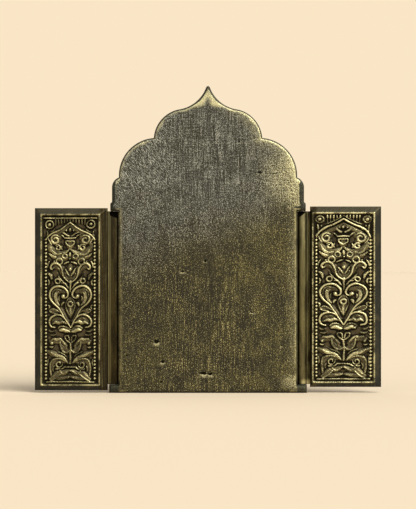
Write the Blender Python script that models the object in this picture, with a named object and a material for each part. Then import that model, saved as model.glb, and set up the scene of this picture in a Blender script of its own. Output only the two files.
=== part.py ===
"""Folding brass triptych altarpiece: a central panel with a lobed ogee top, and two hinged wings
with a carved outer face. Metres, +Z up. The back of the central panel faces -Y, its plain
recessed front faces +Y, and the wings are opened flat. The origin is under the middle of the foot."""

import math
from dataclasses import dataclass

import bmesh
import bpy
from mathutils import Matrix, Vector
from mathutils.geometry import delaunay_2d_cdt

MM = 0.001

# Central panel
BODY_HEIGHT = 150.0 * MM
BODY_DEPTH = 10.0 * MM
WAIST_HALF = 43.65 * MM
FOOT_OVERHANG = 4.65 * MM
FOOT_HEIGHT = 4.0 * MM
NECK_OVERHANG = 3.25 * MM
SHOULDER_STEP = 0.85 * MM
SHOULDER_HEIGHT = 4.4 * MM
SHOULDER_SLOPE = 0.85 * MM
SHOULDER_Z = 88.9 * MM
NECK_HEIGHT = 6.7 * MM
BACK_CHAMFER = 0.9 * MM
FRONT_CHAMFER = 0.6 * MM
# Recessed front field
RIM_WIDTH = 4.6 * MM
RECESS_DEPTH = 3.8 * MM
STEP_WIDTH = 1.6 * MM
STEP_DEPTH = 1.4 * MM
SILL_HEIGHT = 8.0 * MM
# Hinges
AXIS_INSET = 1.2 * MM
MEETING_GAP = 0.4 * MM
CLOSED_CLEARANCE = 0.3 * MM
BARREL_RADIUS = 2.0 * MM
BARREL_CLEARANCE = 0.7 * MM
PIVOT_RADIUS = 1.0 * MM
PIVOT_LENGTH = 2.0 * MM
PIVOT_CLEARANCE = 0.35 * MM
END_CLEARANCE = 0.35 * MM
SIDE_CLEARANCE = 0.3 * MM
WEB_WIDTH = 1.65 * MM
# Hinge stile of each wing
STILE_WIDTH = 4.35 * MM
STILE_RISE = 2.3 * MM
STILE_CUT = 3.0 * MM
FLANGE_THICKNESS = 0.8 * MM
RIB_WIDTH = 0.7 * MM
RIB_HEIGHT = 1.4 * MM
GROOVE_WIDTH = 1.0 * MM
ARM_DEPTH = 1.2 * MM
# Castings are joined with their parts run into each other by this much
PANEL_LAP = 1.0 * MM
TUCK = 0.1 * MM
# Wing panels
WING_THICKNESS = 4.2 * MM
WING_SETBACK = 0.3 * MM
EDGE_THICKNESS = 1.8 * MM
GROUND_DEPTH = 1.3 * MM
CREST_WIDTH = 0.5 * MM
CREST_SLOPE = 0.45 * MM
RELIEF_RISE = 1.15 * MM
INNER_MARGIN = 4.0 * MM
INNER_DEPTH = 0.8 * MM
BEAD_PITCH = 1.7 * MM
BEAD_RADIUS = 0.55 * MM
# Points of the carving closer than this are one
WELD = 0.03 * MM

# The ornament is drawn on a field of this half width and height, then scaled to each wing
DRAWN_HALF = 11.9
DRAWN_HEIGHT = 89.1
# A curve of the carving gets a new point for each turn of this angle
CARVING_BEND = math.radians(40)

FOOT_HALF = WAIST_HALF + FOOT_OVERHANG
NECK_HALF = WAIST_HALF + NECK_OVERHANG
SHOULDER_HALF = NECK_HALF + SHOULDER_STEP
SPRING_Z = SHOULDER_Z + SHOULDER_HEIGHT + NECK_HEIGHT
FRONT_Y = BODY_DEPTH / 2
BACK_Y = -BODY_DEPTH / 2
RELIEF_Y = BACK_Y + WING_SETBACK
INNER_Y = RELIEF_Y + WING_THICKNESS
AXIS_X = WAIST_HALF - AXIS_INSET
AXIS_Y = (FRONT_Y + CLOSED_CLEARANCE + INNER_Y) / 2
WING_REACH = 2 * AXIS_X - MEETING_GAP / 2
STILE_X = WAIST_HALF + SIDE_CLEARANCE
PANEL_X = STILE_X + STILE_WIDTH + RIB_WIDTH + GROOVE_WIDTH
STILE_BOTTOM = FOOT_HEIGHT + END_CLEARANCE
STILE_TOP = SHOULDER_Z - END_CLEARANCE


@dataclass(frozen=True)
class WingCut:
    """The sizes in which one wing differs from the other, as each was filed by hand."""

    name: str
    side: int
    bottom: float
    height: float
    bevel_inner: float
    bevel_outer: float
    bevel_top: float
    bevel_bottom: float
    bead_inset: float


LEFT = WingCut("left_wing", -1, 1.2 * MM, 89.1 * MM, 2.9 * MM, 3.0 * MM, 3.0 * MM, 2.4 * MM, 2.5 * MM)
RIGHT = WingCut("right_wing", 1, 2.8 * MM, 88.3 * MM, 0.9 * MM, 3.3 * MM, 3.0 * MM, 2.2 * MM, 2.0 * MM)


def clear_scene():
    for item in list(bpy.data.objects):
        bpy.data.objects.remove(item, do_unlink=True)


def brass(name, colour, roughness):
    material = bpy.data.materials.new(name)
    material.use_nodes = True
    shader = material.node_tree.nodes["Principled BSDF"]
    shader.inputs["Base Color"].default_value = (*colour, 1.0)
    shader.inputs["Metallic"].default_value = 1.0
    shader.inputs["Roughness"].default_value = roughness
    return material


def object_from(name, mesh_data, material=None):
    mesh = bpy.data.meshes.new(name)
    mesh_data.to_mesh(mesh)
    mesh_data.free()
    item = bpy.data.objects.new(name, mesh)
    bpy.context.scene.collection.objects.link(item)
    if material:
        item.data.materials.append(material)
    return item


def arc(start, middle, end, steps):
    """Points on the circle through three points, from start to end, without the start."""
    a, b, c = (Vector(p) for p in (start, middle, end))
    twice = 2 * (a.x * (b.y - c.y) + b.x * (c.y - a.y) + c.x * (a.y - b.y))
    squares = [p.length_squared for p in (a, b, c)]
    centre = Vector((
        (squares[0] * (b.y - c.y) + squares[1] * (c.y - a.y) + squares[2] * (a.y - b.y)) / twice,
        (squares[0] * (c.x - b.x) + squares[1] * (a.x - c.x) + squares[2] * (b.x - a.x)) / twice,
    ))
    first, via, last = (math.atan2(p.y - centre.y, p.x - centre.x) for p in (a, b, c))
    turn = (last - first) % math.tau
    if (via - first) % math.tau > turn:
        turn -= math.tau
    radius = (a - centre).length
    found = []
    for step in range(1, steps + 1):
        angle = first + turn * step / steps
        found.append((centre.x + radius * math.cos(angle), centre.y + radius * math.sin(angle)))
    return found


def lobed_arch(half, spring, rise, steps):
    """The right half of the lobed top, from the spring line to the tip, as shares of its size."""

    def at(across, up):
        return (across * half, spring + up * rise)

    low_cusp = at(0.928, 0.105)
    high_cusp = at(0.565, 0.49)
    ogee = at(0.31, 0.768)
    points = [at(1.0, 0.0)]
    points += arc(points[-1], at(0.985, 0.06), low_cusp, max(3, steps // 3))
    points += arc(low_cusp, at(0.832, 0.365), high_cusp, steps)
    points += arc(high_cusp, at(0.49, 0.665), ogee, steps)
    points += arc(ogee, at(0.115, 0.852), at(0.017, 0.99), steps // 2)
    points.append(at(0.0, 1.0))
    return points


def mirrored(right_half):
    """A closed outline from its right half, which starts and may end on the middle line."""
    left_half = [(-x, z) for x, z in reversed(right_half) if x > 1e-9]
    return right_half + left_half


def body_outline():
    half = [(FOOT_HALF, 0.0), (FOOT_HALF, FOOT_HEIGHT), (WAIST_HALF, FOOT_HEIGHT)]
    half += [(WAIST_HALF, SHOULDER_Z), (SHOULDER_HALF, SHOULDER_Z)]
    half += [(SHOULDER_HALF, SHOULDER_Z + SHOULDER_HEIGHT - SHOULDER_SLOPE)]
    half += [(NECK_HALF, SHOULDER_Z + SHOULDER_HEIGHT)]
    half += lobed_arch(NECK_HALF, SPRING_Z, BODY_HEIGHT - SPRING_Z, 9)
    return mirrored(half)


def offset_outline(outline, distance):
    """Each corner moved inwards along its bisector, so that the sides move by the distance."""
    count = len(outline)
    found = []
    for index, point in enumerate(outline):
        here = Vector(point)
        before = (here - Vector(outline[index - 1])).normalized()
        after = (Vector(outline[(index + 1) % count]) - here).normalized()
        normal_before = Vector((-before.y, before.x))
        normal_after = Vector((-after.y, after.x))
        bisector = (normal_before + normal_after).normalized()
        stretch = distance / max(0.35, bisector.dot(normal_after))
        found.append(tuple(here + bisector * stretch))
    return found


def loft(rings):
    """A closed solid through outlines of equal length, each at its own depth along Y."""
    mesh = bmesh.new()
    rows = [[mesh.verts.new((x, y, z)) for x, z in outline] for y, outline in rings]
    for lower, upper in zip(rows, rows[1:]):
        for index in range(len(lower)):
            after = (index + 1) % len(lower)
            mesh.faces.new((lower[index], lower[after], upper[after], upper[index]))
    mesh.faces.new(rows[0])
    mesh.faces.new(rows[-1])
    bmesh.ops.recalc_face_normals(mesh, faces=mesh.faces)
    return mesh


def prism(outline, low, high):
    """An outline in X and Y, extruded from one height to another."""
    mesh = bmesh.new()
    base = [mesh.verts.new((x, y, low)) for x, y in outline]
    face = mesh.faces.new(base)
    raised = bmesh.ops.extrude_face_region(mesh, geom=[face])["geom"]
    lifted = [item for item in raised if isinstance(item, bmesh.types.BMVert)]
    bmesh.ops.translate(mesh, verts=lifted, vec=(0, 0, high - low))
    bmesh.ops.recalc_face_normals(mesh, faces=mesh.faces)
    return mesh


def box(low, high):
    outline = [(low[0], low[1]), (high[0], low[1]), (high[0], high[1]), (low[0], high[1])]
    return prism(outline, low[2], high[2])


def rod(centre, radius, low, high, sides=16):
    turns = [math.tau * (index + 0.5) / sides for index in range(sides)]
    outline = [(centre[0] + radius * math.cos(t), centre[1] + radius * math.sin(t)) for t in turns]
    return prism(outline, low, high)


def combine(target, operation, mesh_data):
    """Joins a mesh to the target, or cuts it away, and applies the result."""
    tool = object_from("tool", mesh_data)
    modifier = target.modifiers.new("combine", "BOOLEAN")
    modifier.operation = operation
    modifier.solver = "EXACT"
    modifier.object = tool
    shape = bpy.context.evaluated_depsgraph_get()
    finished = bpy.data.meshes.new_from_object(target.evaluated_get(shape))
    target.modifiers.clear()
    target.data = finished
    bpy.data.objects.remove(tool, do_unlink=True)


def front_opening(margin):
    """The outline of the front field, or of its step when the margin is larger."""
    half = rebate_half() - RIM_WIDTH - margin
    sill = SILL_HEIGHT + margin
    shrink = RIM_WIDTH + margin
    spring = SPRING_Z - STEP_WIDTH
    arch = lobed_arch(half, spring, BODY_HEIGHT - SPRING_Z - 2 * shrink, 7)
    return mirrored([(half, sill)] + arch)


def rebate_half():
    """Half width of the front part beside the hinges, which the web of a closed wing clears."""
    web_outer = STILE_X + WEB_WIDTH
    return 2 * AXIS_X - web_outer - PIVOT_CLEARANCE


def make_central_panel(material):
    outline = body_outline()
    shell = loft([
        (BACK_Y, offset_outline(outline, BACK_CHAMFER)),
        (BACK_Y + BACK_CHAMFER, outline),
        (FRONT_Y - FRONT_CHAMFER, outline),
        (FRONT_Y, offset_outline(outline, FRONT_CHAMFER)),
    ])
    panel = object_from("central_panel", shell, material)
    past = FRONT_Y + BODY_DEPTH
    field = front_opening(STEP_WIDTH)
    step = front_opening(0.0)
    combine(panel, "DIFFERENCE", loft([(FRONT_Y - RECESS_DEPTH, field), (past, field)]))
    combine(panel, "DIFFERENCE", loft([(FRONT_Y - STEP_DEPTH, step), (past, step)]))
    for side in (-1, 1):
        inner, outer = side * rebate_half(), side * (WAIST_HALF + STILE_WIDTH)
        low = (min(inner, outer), AXIS_Y - BARREL_RADIUS - BARREL_CLEARANCE, FOOT_HEIGHT)
        high = (max(inner, outer), past, SHOULDER_Z)
        combine(panel, "DIFFERENCE", box(low, high))
        reach = PIVOT_LENGTH - END_CLEARANCE + PIVOT_CLEARANCE
        bore = PIVOT_RADIUS + PIVOT_CLEARANCE
        centre = (side * AXIS_X, AXIS_Y)
        overlap = BARREL_CLEARANCE
        combine(panel, "DIFFERENCE", rod(centre, bore, FOOT_HEIGHT - reach, FOOT_HEIGHT + overlap))
        combine(panel, "DIFFERENCE", rod(centre, bore, SHOULDER_Z - overlap, SHOULDER_Z + reach))
    return panel


@dataclass(frozen=True)
class Stroke:
    """One raised ridge of the carving: its middle line, and the half width at each of its points."""

    line: list
    widths: list
    rise: float


def through(points, bend):
    """A smooth line through a few points, with a new point wherever it has turned by the bend."""
    ends = [2 * points[0] - points[1]] + points + [2 * points[-1] - points[-2]]
    found = [points[0]]
    for before, start, end, after in zip(ends, ends[1:], ends[2:], ends[3:]):
        turn = (end - before).angle(after - start)
        steps = max(1 if len(points) > 2 else 2, round(turn / bend))
        for step in range(1, steps + 1):
            t = step / steps
            curve = 2 * before - 5 * start + 4 * end - after
            swing = 3 * start - before - 3 * end + after
            found.append(start + 0.5 * ((end - before) * t + curve * t * t + swing * t**3))
    return found


class Carving:
    """The candelabra ornament of a wing, drawn in millimetres on a field of the drawn size."""

    def __init__(self, bend):
        self.bend = bend
        self.strokes = []

    def ridge(self, points, widths, rise, both=True):
        """A stroke with a half width at its start, middle and end, and its mirror image."""
        line = through([Vector(p) for p in points], self.bend)
        first, middle, last = widths
        spread = []
        for index in range(len(line)):
            t = index / (len(line) - 1)
            spread.append((1 - t) ** 2 * first + 2 * t * (1 - t) * (2 * middle - (first + last) / 2)
                          + t * t * last)
        self.keep(line, spread, rise, both)

    def keep(self, line, widths, rise, both):
        self.strokes.append(Stroke(line, widths, rise))
        if both:
            other = [Vector((-p.x, p.y)) for p in line]
            self.strokes.append(Stroke(other, widths, rise))

    def leaf(self, *points, width=0.7, rise=0.9, both=True):
        self.ridge(points, (0.12, width, 0.0), rise, both)

    def stem(self, *points, width=0.45, rise=0.8, both=True):
        self.ridge(points, (width, width, width), rise, both)

    def curl(self, centre, radius, start, turns, width=0.5, rise=0.9):
        """A scroll that winds in from its radius to a third of it."""
        steps = round(abs(turns) * math.tau / self.bend)
        line = []
        for step in range(steps + 1):
            t = step / steps
            angle = math.radians(start) + turns * math.tau * t
            reach = radius * (1 - 0.66 * t)
            line.append(Vector((centre[0] + reach * math.cos(angle), centre[1] + reach * math.sin(angle))))
        widths = [width * (0.55 + 0.45 * math.sin(math.pi * index / steps)) for index in range(steps + 1)]
        self.keep(line, widths, rise, both=True)

    def ring(self, centre, radius, width=0.45, rise=0.9):
        """A round band, closed on itself."""
        sides = round(math.tau / self.bend)
        line = []
        for side in range(sides + 1):
            turn = math.tau * side / sides
            line.append(Vector((centre[0] + radius * math.cos(turn), centre[1] + radius * math.sin(turn))))
        self.keep(line, [width] * (sides + 1), rise, both=centre[0] > 0)

    def boss(self, centre, width, tall, rise=1.0, both=True):
        """A rounded knob, wide or tall."""
        middle = Vector(centre)
        half = Vector((0.0, max(tall - width, 0.15)))
        line = [middle - half, middle, middle + half]
        self.keep(line, [0.55 * width, width, 0.55 * width], rise, both)


def draw_carving(bend):
    """All tiers of the ornament, from the canopy at the top down to the foot leaves."""
    carving = Carving(bend)
    draw_canopy(carving)
    draw_urn(carving)
    draw_tulip(carving)
    draw_great_scrolls(carving)
    draw_drooping_leaves(carving)
    draw_foot(carving)
    return carving.strokes


def draw_canopy(carving):
    carving.stem((-12.8, 84.2), (12.8, 84.2), width=0.35, rise=0.8, both=False)
    flute_pitch = 1.42
    for index in range(6):
        across = index * flute_pitch
        carving.stem((across, 83.6), (across, 82.9 - 0.35 * index), width=0.42, rise=0.6, both=index > 0)
    carving.ring((10.0, 81.1), 1.9, width=0.4)
    carving.boss((10.0, 81.1), 0.85, 0.85)
    carving.stem((0.0, 82.0), (2.6, 80.1), (5.2, 78.3), (8.4, 76.8), (10.5, 75.3), (12.0, 73.5), rise=1.0)
    carving.leaf((0.0, 75.4), (1.0, 75.6), (2.8, 76.7), (5.2, 77.6), width=0.5)
    carving.boss((0.0, 78.5), 0.7, 1.1, both=False)
    carving.boss((1.8, 78.2), 0.5, 0.4)


def draw_urn(carving):
    carving.stem((-2.5, 74.4), (2.5, 74.4), width=0.5, rise=1.0, both=False)
    carving.stem((0.0, 72.9), (2.0, 72.9), (1.8, 71.4), (0.0, 70.3), width=0.42, rise=1.0)
    carving.curl((7.4, 73.5), 2.4, 130, -1.25, width=0.55)
    carving.curl((6.1, 69.6), 1.6, 50, 1.1)
    carving.leaf((0.2, 69.4), (1.9, 67.6), (4.4, 67.2), width=0.6)
    carving.leaf((3.4, 67.0), (6.8, 66.3), (9.0, 68.0), (10.6, 71.6), width=0.8)
    carving.leaf((6.4, 65.0), (8.8, 65.4), (11.0, 67.2), width=0.7)
    carving.ring((2.6, 65.6), 1.15, width=0.42)
    carving.boss((0.0, 66.6), 0.7, 1.3, rise=1.1, both=False)
    carving.ring((5.3, 63.0), 1.45, width=0.45)
    carving.leaf((0.0, 62.9), (1.9, 62.5), (3.9, 61.3), width=0.5)


def draw_tulip(carving):
    tulip = ((0.0, 52.7), (2.0, 54.0), (3.5, 56.2), (4.1, 59.2), (5.6, 61.4), (7.9, 61.9), (9.5, 60.4),
             (9.1, 59.0), (8.2, 59.6))
    carving.ridge(tulip, (0.35, 0.75, 0.35), 0.95)
    carving.leaf((0.0, 55.4), (1.5, 57.6), (3.0, 60.4), width=0.55)
    carving.leaf((11.4, 57.4), (9.3, 55.8), (9.0, 53.2), width=0.7)
    carving.ring((6.1, 53.4), 1.15, width=0.42)
    carving.leaf((0.3, 48.9), (2.6, 52.2), (5.0, 52.6), width=0.5)
    carving.boss((0.0, 59.2), 0.9, 1.2, both=False)


def draw_great_scrolls(carving):
    scroll = ((0.2, 30.8), (3.2, 36.2), (5.8, 40.1), (8.8, 42.4), (10.7, 45.3), (10.6, 48.6), (8.6, 51.1),
              (5.7, 51.8), (2.8, 50.6), (1.1, 47.9), (1.4, 45.7), (2.9, 45.1))
    carving.ridge(scroll, (0.35, 0.85, 0.35), 1.05)
    carving.boss((3.5, 46.0), 1.05, 1.1, rise=1.15)
    carving.leaf((5.6, 40.9), (7.4, 43.4), (7.6, 46.0), (6.0, 47.9), width=0.75)
    carving.stem((9.0, 46.0), (8.6, 48.3), (6.6, 49.6), (4.6, 49.0), width=0.35, rise=0.7)
    carving.ridge(((0.0, 53.2), (0.0, 47.6)), (0.8, 0.5, 0.25), 0.9, both=False)
    carving.ring((0.0, 42.2), 1.2, width=0.5)
    carving.leaf((0.0, 41.2), (0.0, 38.6), (0.0, 34.6), width=0.7, both=False)
    carving.stem((0.9, 44.9), (2.0, 43.0), (2.2, 40.6), (0.6, 36.6), width=0.35, rise=0.7)
    carving.leaf((4.6, 40.9), (3.9, 42.6), (2.6, 43.2), width=0.6)
    carving.stem((4.0, 37.5), (6.4, 38.9), (8.6, 39.9), (10.2, 39.2), (9.2, 38.0), (6.6, 37.4), width=0.4)


def draw_drooping_leaves(carving):
    droop = ((0.4, 31.5), (2.1, 34.5), (4.2, 36.4), (6.8, 36.9), (9.2, 35.9), (10.4, 33.6), (9.6, 31.2), (7.6, 30.6))
    carving.ridge(droop, (0.3, 0.7, 0.5), 1.05)
    carving.ridge(((1.8, 32.9), (4.2, 33.6), (5.6, 32.9), (7.2, 33.4), (8.8, 32.4)), (0.4, 0.95, 0.4), 0.85)
    carving.stem((0.0, 29.4), (2.4, 29.3), (4.2, 29.5), width=0.4)
    carving.boss((4.4, 29.5), 0.95, 0.85, rise=1.0)
    carving.stem((0.2, 23.4), (2.1, 24.8), (2.6, 26.7), (0.9, 26.6), (0.4, 24.4), width=0.38)


def draw_foot(carving):
    carving.leaf((1.7, 21.2), (3.8, 24.0), (5.3, 25.0), (6.8, 24.6), (8.6, 25.0), (10.4, 23.6), width=0.7)
    carving.boss((9.2, 22.9), 0.8, 0.8)
    carving.stem((5.2, 23.6), (4.9, 21.2), (3.9, 19.4), (2.1, 18.5), (0.3, 19.6), width=0.45)
    carving.leaf((1.3, 19.6), (2.4, 21.0), (2.5, 22.6), width=0.45, rise=0.6)
    carving.stem((0.0, 23.2), (0.0, 13.2), width=0.5, both=False)
    carving.leaf((0.9, 12.8), (2.3, 14.9), (4.5, 16.6), (7.3, 17.1), (9.3, 18.4), (11.3, 18.9), width=0.85,
                 rise=1.0)
    carving.leaf((1.3, 15.6), (2.9, 17.6), (5.4, 18.7), (7.6, 19.8), width=0.4, rise=0.7)
    carving.stem((2.4, 14.2), (4.5, 15.3), (6.9, 15.5), (8.8, 14.7), (9.7, 12.8), (9.7, 9.8), (9.3, 7.2), width=0.5)
    carving.curl((5.6, 12.7), 1.8, 160, 1.15, width=0.45)
    carving.leaf((7.4, 10.7), (6.2, 10.4), (4.4, 10.8), width=0.5)
    carving.stem((-2.5, 11.4), (2.5, 11.4), width=0.42, both=False)
    carving.stem((0.0, 9.7), (1.4, 9.2), (2.8, 8.2), (4.2, 8.4), (5.0, 9.6), width=0.45)
    carving.stem((4.8, 7.8), (6.7, 6.1), (9.3, 4.6), width=0.4)
    carving.stem((6.1, 8.8), (7.7, 7.2), (9.9, 5.6), width=0.35, rise=0.7)
    carving.leaf((0.0, 6.3), (2.4, 5.9), (4.8, 6.0), width=0.5, rise=0.7)
    carving.stem((-11.6, 4.1), (11.6, 4.1), width=0.4, rise=0.9, both=False)


def rise_at(strokes, point):
    """How far the carving stands up at a point, which is the highest stroke there."""
    highest = 0.0
    for stroke in strokes:
        for start, end, width, next_width in zip(stroke.line, stroke.line[1:], stroke.widths, stroke.widths[1:]):
            along = end - start
            share = max(0.0, min(1.0, (point - start).dot(along) / max(along.length_squared, 1e-12)))
            half = width + (next_width - width) * share
            distance = (point - start - along * share).length
            if half > 1e-6 and distance < half:
                highest = max(highest, stroke.rise * (1 - distance / half))
    return highest


def stroke_edges(stroke):
    """The middle line of a stroke and its two feet, as lists of points."""
    left, right = [], []
    last = len(stroke.line) - 1
    for index, (point, width) in enumerate(zip(stroke.line, stroke.widths)):
        along = (stroke.line[min(index + 1, last)] - stroke.line[max(index - 1, 0)]).normalized()
        across = Vector((-along.y, along.x)) * width
        left.append(point + across)
        right.append(point - across)
    outline = left + list(reversed(right))
    return stroke.line, outline + [outline[0]]


def wing_field(cut):
    """The limits of the wing's face, of its raised ridge, outside and inside, and of its ground."""
    face = (PANEL_X, cut.bottom, WING_REACH, cut.bottom + cut.height)
    ridge = (
        face[0] + cut.bevel_inner,
        face[1] + cut.bevel_bottom,
        face[2] - cut.bevel_outer,
        face[3] - cut.bevel_top,
    )
    return face, ridge, shrunk(ridge, CREST_WIDTH), shrunk(ridge, CREST_WIDTH + CREST_SLOPE)


def shrunk(limits, margin):
    return (limits[0] + margin, limits[1] + margin, limits[2] - margin, limits[3] - margin)


def depth_inside(limits, point):
    return min(point.x - limits[0], limits[2] - point.x, point.y - limits[1], limits[3] - point.y)


def bead_columns(cut, ridge):
    """Two upright rows of beads, inside the ridge, each as a line of peaks and hollows."""
    low = ridge[1] + 2 * BEAD_PITCH
    high = cut.bottom + 0.83 * cut.height
    count = int((high - low) / BEAD_PITCH)
    columns = []
    for across in (ridge[0] + cut.bead_inset, ridge[2] - cut.bead_inset):
        columns.append([Vector((across, low + index * BEAD_PITCH / 2)) for index in range(2 * count + 1)])
    return columns


def wing_surface(cut, strokes):
    """The carved face of a wing, as points with their height over the inner face, and triangles."""
    face, ridge, crest, ground = wing_field(cut)
    columns = bead_columns(cut, ridge)
    middle = (columns[0][0].x + columns[1][0].x) / 2
    across_scale = (columns[1][0].x - columns[0][0].x) / 2 / DRAWN_HALF
    up_scale = cut.height / DRAWN_HEIGHT
    points, edges = [], []

    def add_line(line):
        first = len(points)
        points.extend(line)
        edges.extend((first + index, first + index + 1) for index in range(len(line) - 1))

    def corners(limits):
        x0, z0, x1, z1 = limits
        ring = [Vector(p) for p in ((x0, z0), (x1, z0), (x1, z1), (x0, z1), (x0, z0))]
        add_line(ring)

    for limits in (face, ridge, crest, ground):
        corners(limits)
    for column in columns:
        add_line(column)
        for offset in (-BEAD_RADIUS, BEAD_RADIUS):
            add_line([column[0] + Vector((offset, 0)), column[-1] + Vector((offset, 0))])
    for stroke in strokes:
        for line in stroke_edges(stroke):
            add_line([Vector((middle + p.x * across_scale, cut.bottom + p.y * up_scale)) for p in line])
    flat, _, triangles, *_ = delaunay_2d_cdt(points, edges, [], 0, WELD)

    def height(point):
        ground_level = WING_THICKNESS - GROUND_DEPTH
        if depth_inside(face, point) < WELD:
            return EDGE_THICKNESS
        if depth_inside(crest, point) < WELD:
            return WING_THICKNESS
        if depth_inside(ground, point) < WELD:
            return ground_level
        drawn = Vector(((point.x - middle) / across_scale, (point.y - cut.bottom) / up_scale))
        rise = rise_at(strokes, drawn) * RELIEF_RISE
        for column in columns:
            if abs(point.x - column[0].x) < WELD and column[0].y < point.y < column[-1].y:
                place = (point.y - column[0].y) / (BEAD_PITCH / 2)
                rise = max(rise, BEAD_RADIUS * 1.3 * (round(place) % 2) + 0.1 * BEAD_RADIUS)
        return ground_level + rise

    return flat, [height(point) for point in flat], triangles


def carved_slab(cut, strokes):
    """The wing's panel: the carved face, square sides and a flat inner face."""
    flat, heights, triangles = wing_surface(cut, strokes)
    mesh = bmesh.new()
    top = [mesh.verts.new((p.x, INNER_Y - h, p.y)) for p, h in zip(flat, heights)]
    for triangle in triangles:
        mesh.faces.new([top[index] for index in triangle])
    rim = [edge for edge in mesh.edges if edge.is_boundary]
    sides = bmesh.ops.extrude_edge_only(mesh, edges=rim)["geom"]
    lowered = [item for item in sides if isinstance(item, bmesh.types.BMVert)]
    for vert in lowered:
        vert.co.y = INNER_Y
    foot = [item for item in sides if isinstance(item, bmesh.types.BMEdge) and item.is_boundary]
    bmesh.ops.edgeloop_fill(mesh, edges=foot)
    bmesh.ops.recalc_face_normals(mesh, faces=mesh.faces)
    return mesh


def stile_meshes():
    """The flange and web that carry the wing on its barrel, its half-round strip, and its rib."""
    seat_y = INNER_Y - TUCK
    flange_y = seat_y - FLANGE_THICKNESS
    web_x = STILE_X + WEB_WIDTH
    arm_y = AXIS_Y - ARM_DEPTH
    lap_x = PANEL_X + PANEL_LAP
    carrier = [(AXIS_X, arm_y), (STILE_X, arm_y), (STILE_X, flange_y), (lap_x, flange_y)]
    carrier += [(lap_x, seat_y), (web_x, seat_y), (web_x, AXIS_Y), (AXIS_X, AXIS_Y)]
    strip_start = (STILE_X + TUCK, flange_y + 3 * TUCK)
    strip_end = (STILE_X + STILE_WIDTH, flange_y + 3 * TUCK)
    crown = (STILE_X + STILE_WIDTH / 2, flange_y - STILE_RISE)
    strip = [strip_start] + arc(strip_start, crown, strip_end, 8)
    rounded = prism(strip, STILE_BOTTOM + TUCK, STILE_TOP - TUCK)
    corner = Vector((STILE_X, 0, STILE_TOP - STILE_CUT))
    cut_normal = Vector((-1, 0, 1)).normalized()
    whole = rounded.verts[:] + rounded.edges[:] + rounded.faces[:]
    bmesh.ops.bisect_plane(rounded, geom=whole, plane_co=corner, plane_no=cut_normal, clear_outer=True)
    bmesh.ops.holes_fill(rounded, edges=rounded.edges)
    bmesh.ops.recalc_face_normals(rounded, faces=rounded.faces)
    rib_low = (STILE_X + STILE_WIDTH - TUCK, flange_y - RIB_HEIGHT, STILE_BOTTOM + 2 * TUCK)
    rib_high = (STILE_X + STILE_WIDTH + RIB_WIDTH, flange_y + 2 * TUCK, STILE_TOP - 2 * TUCK)
    yield prism(carrier, STILE_BOTTOM, STILE_TOP)
    yield rounded
    yield box(rib_low, rib_high)


def make_wing(cut, strokes, material):
    wing = object_from(cut.name, carved_slab(cut, strokes), material)
    low = (PANEL_X + INNER_MARGIN, INNER_Y - INNER_DEPTH, cut.bottom + INNER_MARGIN)
    high = (WING_REACH - INNER_MARGIN, FRONT_Y, cut.bottom + cut.height - INNER_MARGIN)
    combine(wing, "DIFFERENCE", box(low, high))
    centre = (AXIS_X, AXIS_Y)
    for piece in stile_meshes():
        combine(wing, "UNION", piece)
    combine(wing, "UNION", rod(centre, BARREL_RADIUS, STILE_BOTTOM - TUCK / 2, STILE_TOP + TUCK / 2))
    pivot_low, pivot_high = STILE_BOTTOM - PIVOT_LENGTH, STILE_TOP + PIVOT_LENGTH
    combine(wing, "UNION", rod(centre, PIVOT_RADIUS, pivot_low, pivot_high, sides=12))
    if cut.side < 0:
        wing.data.transform(Matrix.Diagonal((-1, 1, 1, 1)))
        wing.data.flip_normals()
    place_on_axis(wing, cut.side)
    return wing


def place_on_axis(wing, side):
    """Puts the wing's origin on its hinge axis, under an empty, with its shape where it was."""
    axis = bpy.data.objects.new(wing.name + "_axis", None)
    bpy.context.scene.collection.objects.link(axis)
    axis.location = (side * AXIS_X, AXIS_Y, 0)
    wing.data.transform(Matrix.Translation((-side * AXIS_X, -AXIS_Y, 0)))
    wing.parent = axis


def main():
    clear_scene()
    plate_brass = brass("plate_brass", (0.30, 0.25, 0.13), 0.45)
    wing_brass = brass("wing_brass", (0.36, 0.28, 0.10), 0.42)
    make_central_panel(plate_brass)
    strokes = draw_carving(CARVING_BEND)
    for cut in (LEFT, RIGHT):
        make_wing(cut, strokes, wing_brass)


main()
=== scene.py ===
"""Dressed model of a folding brass triptych, seen from its plain back with its wings open."""

import logging
import math
from dataclasses import dataclass, field
from enum import Enum
from functools import partial
from typing import Any, Callable, Sequence

import bpy
import numpy as np
from mathutils import Matrix, Vector
from mathutils.geometry import delaunay_2d_cdt


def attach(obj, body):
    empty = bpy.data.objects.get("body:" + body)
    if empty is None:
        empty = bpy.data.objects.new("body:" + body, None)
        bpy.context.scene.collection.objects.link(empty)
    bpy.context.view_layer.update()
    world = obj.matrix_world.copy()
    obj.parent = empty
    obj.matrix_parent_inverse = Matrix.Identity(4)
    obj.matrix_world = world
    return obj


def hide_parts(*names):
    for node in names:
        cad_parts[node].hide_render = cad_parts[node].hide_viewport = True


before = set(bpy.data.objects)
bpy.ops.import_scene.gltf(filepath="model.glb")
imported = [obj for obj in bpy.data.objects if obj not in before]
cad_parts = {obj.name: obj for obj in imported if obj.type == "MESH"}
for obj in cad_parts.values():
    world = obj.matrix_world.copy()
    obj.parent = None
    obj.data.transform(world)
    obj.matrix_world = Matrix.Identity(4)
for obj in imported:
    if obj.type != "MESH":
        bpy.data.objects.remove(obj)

LOG = logging.getLogger("triptych")
MM = 0.001
SHARP_ANGLE = 35.0
MERGE_DISTANCE = 1e-6

Point = tuple[float, float]
Colour = tuple[float, float, float]
Array = np.ndarray


class Body(Enum):
    """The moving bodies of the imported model."""

    PLATE = "central_panel"
    LEFT = "left_wing"
    RIGHT = "right_wing"


class Slot(Enum):
    """The material slots of the record."""

    PLATE = "plate_brass"
    WING = "wing_brass"


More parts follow.
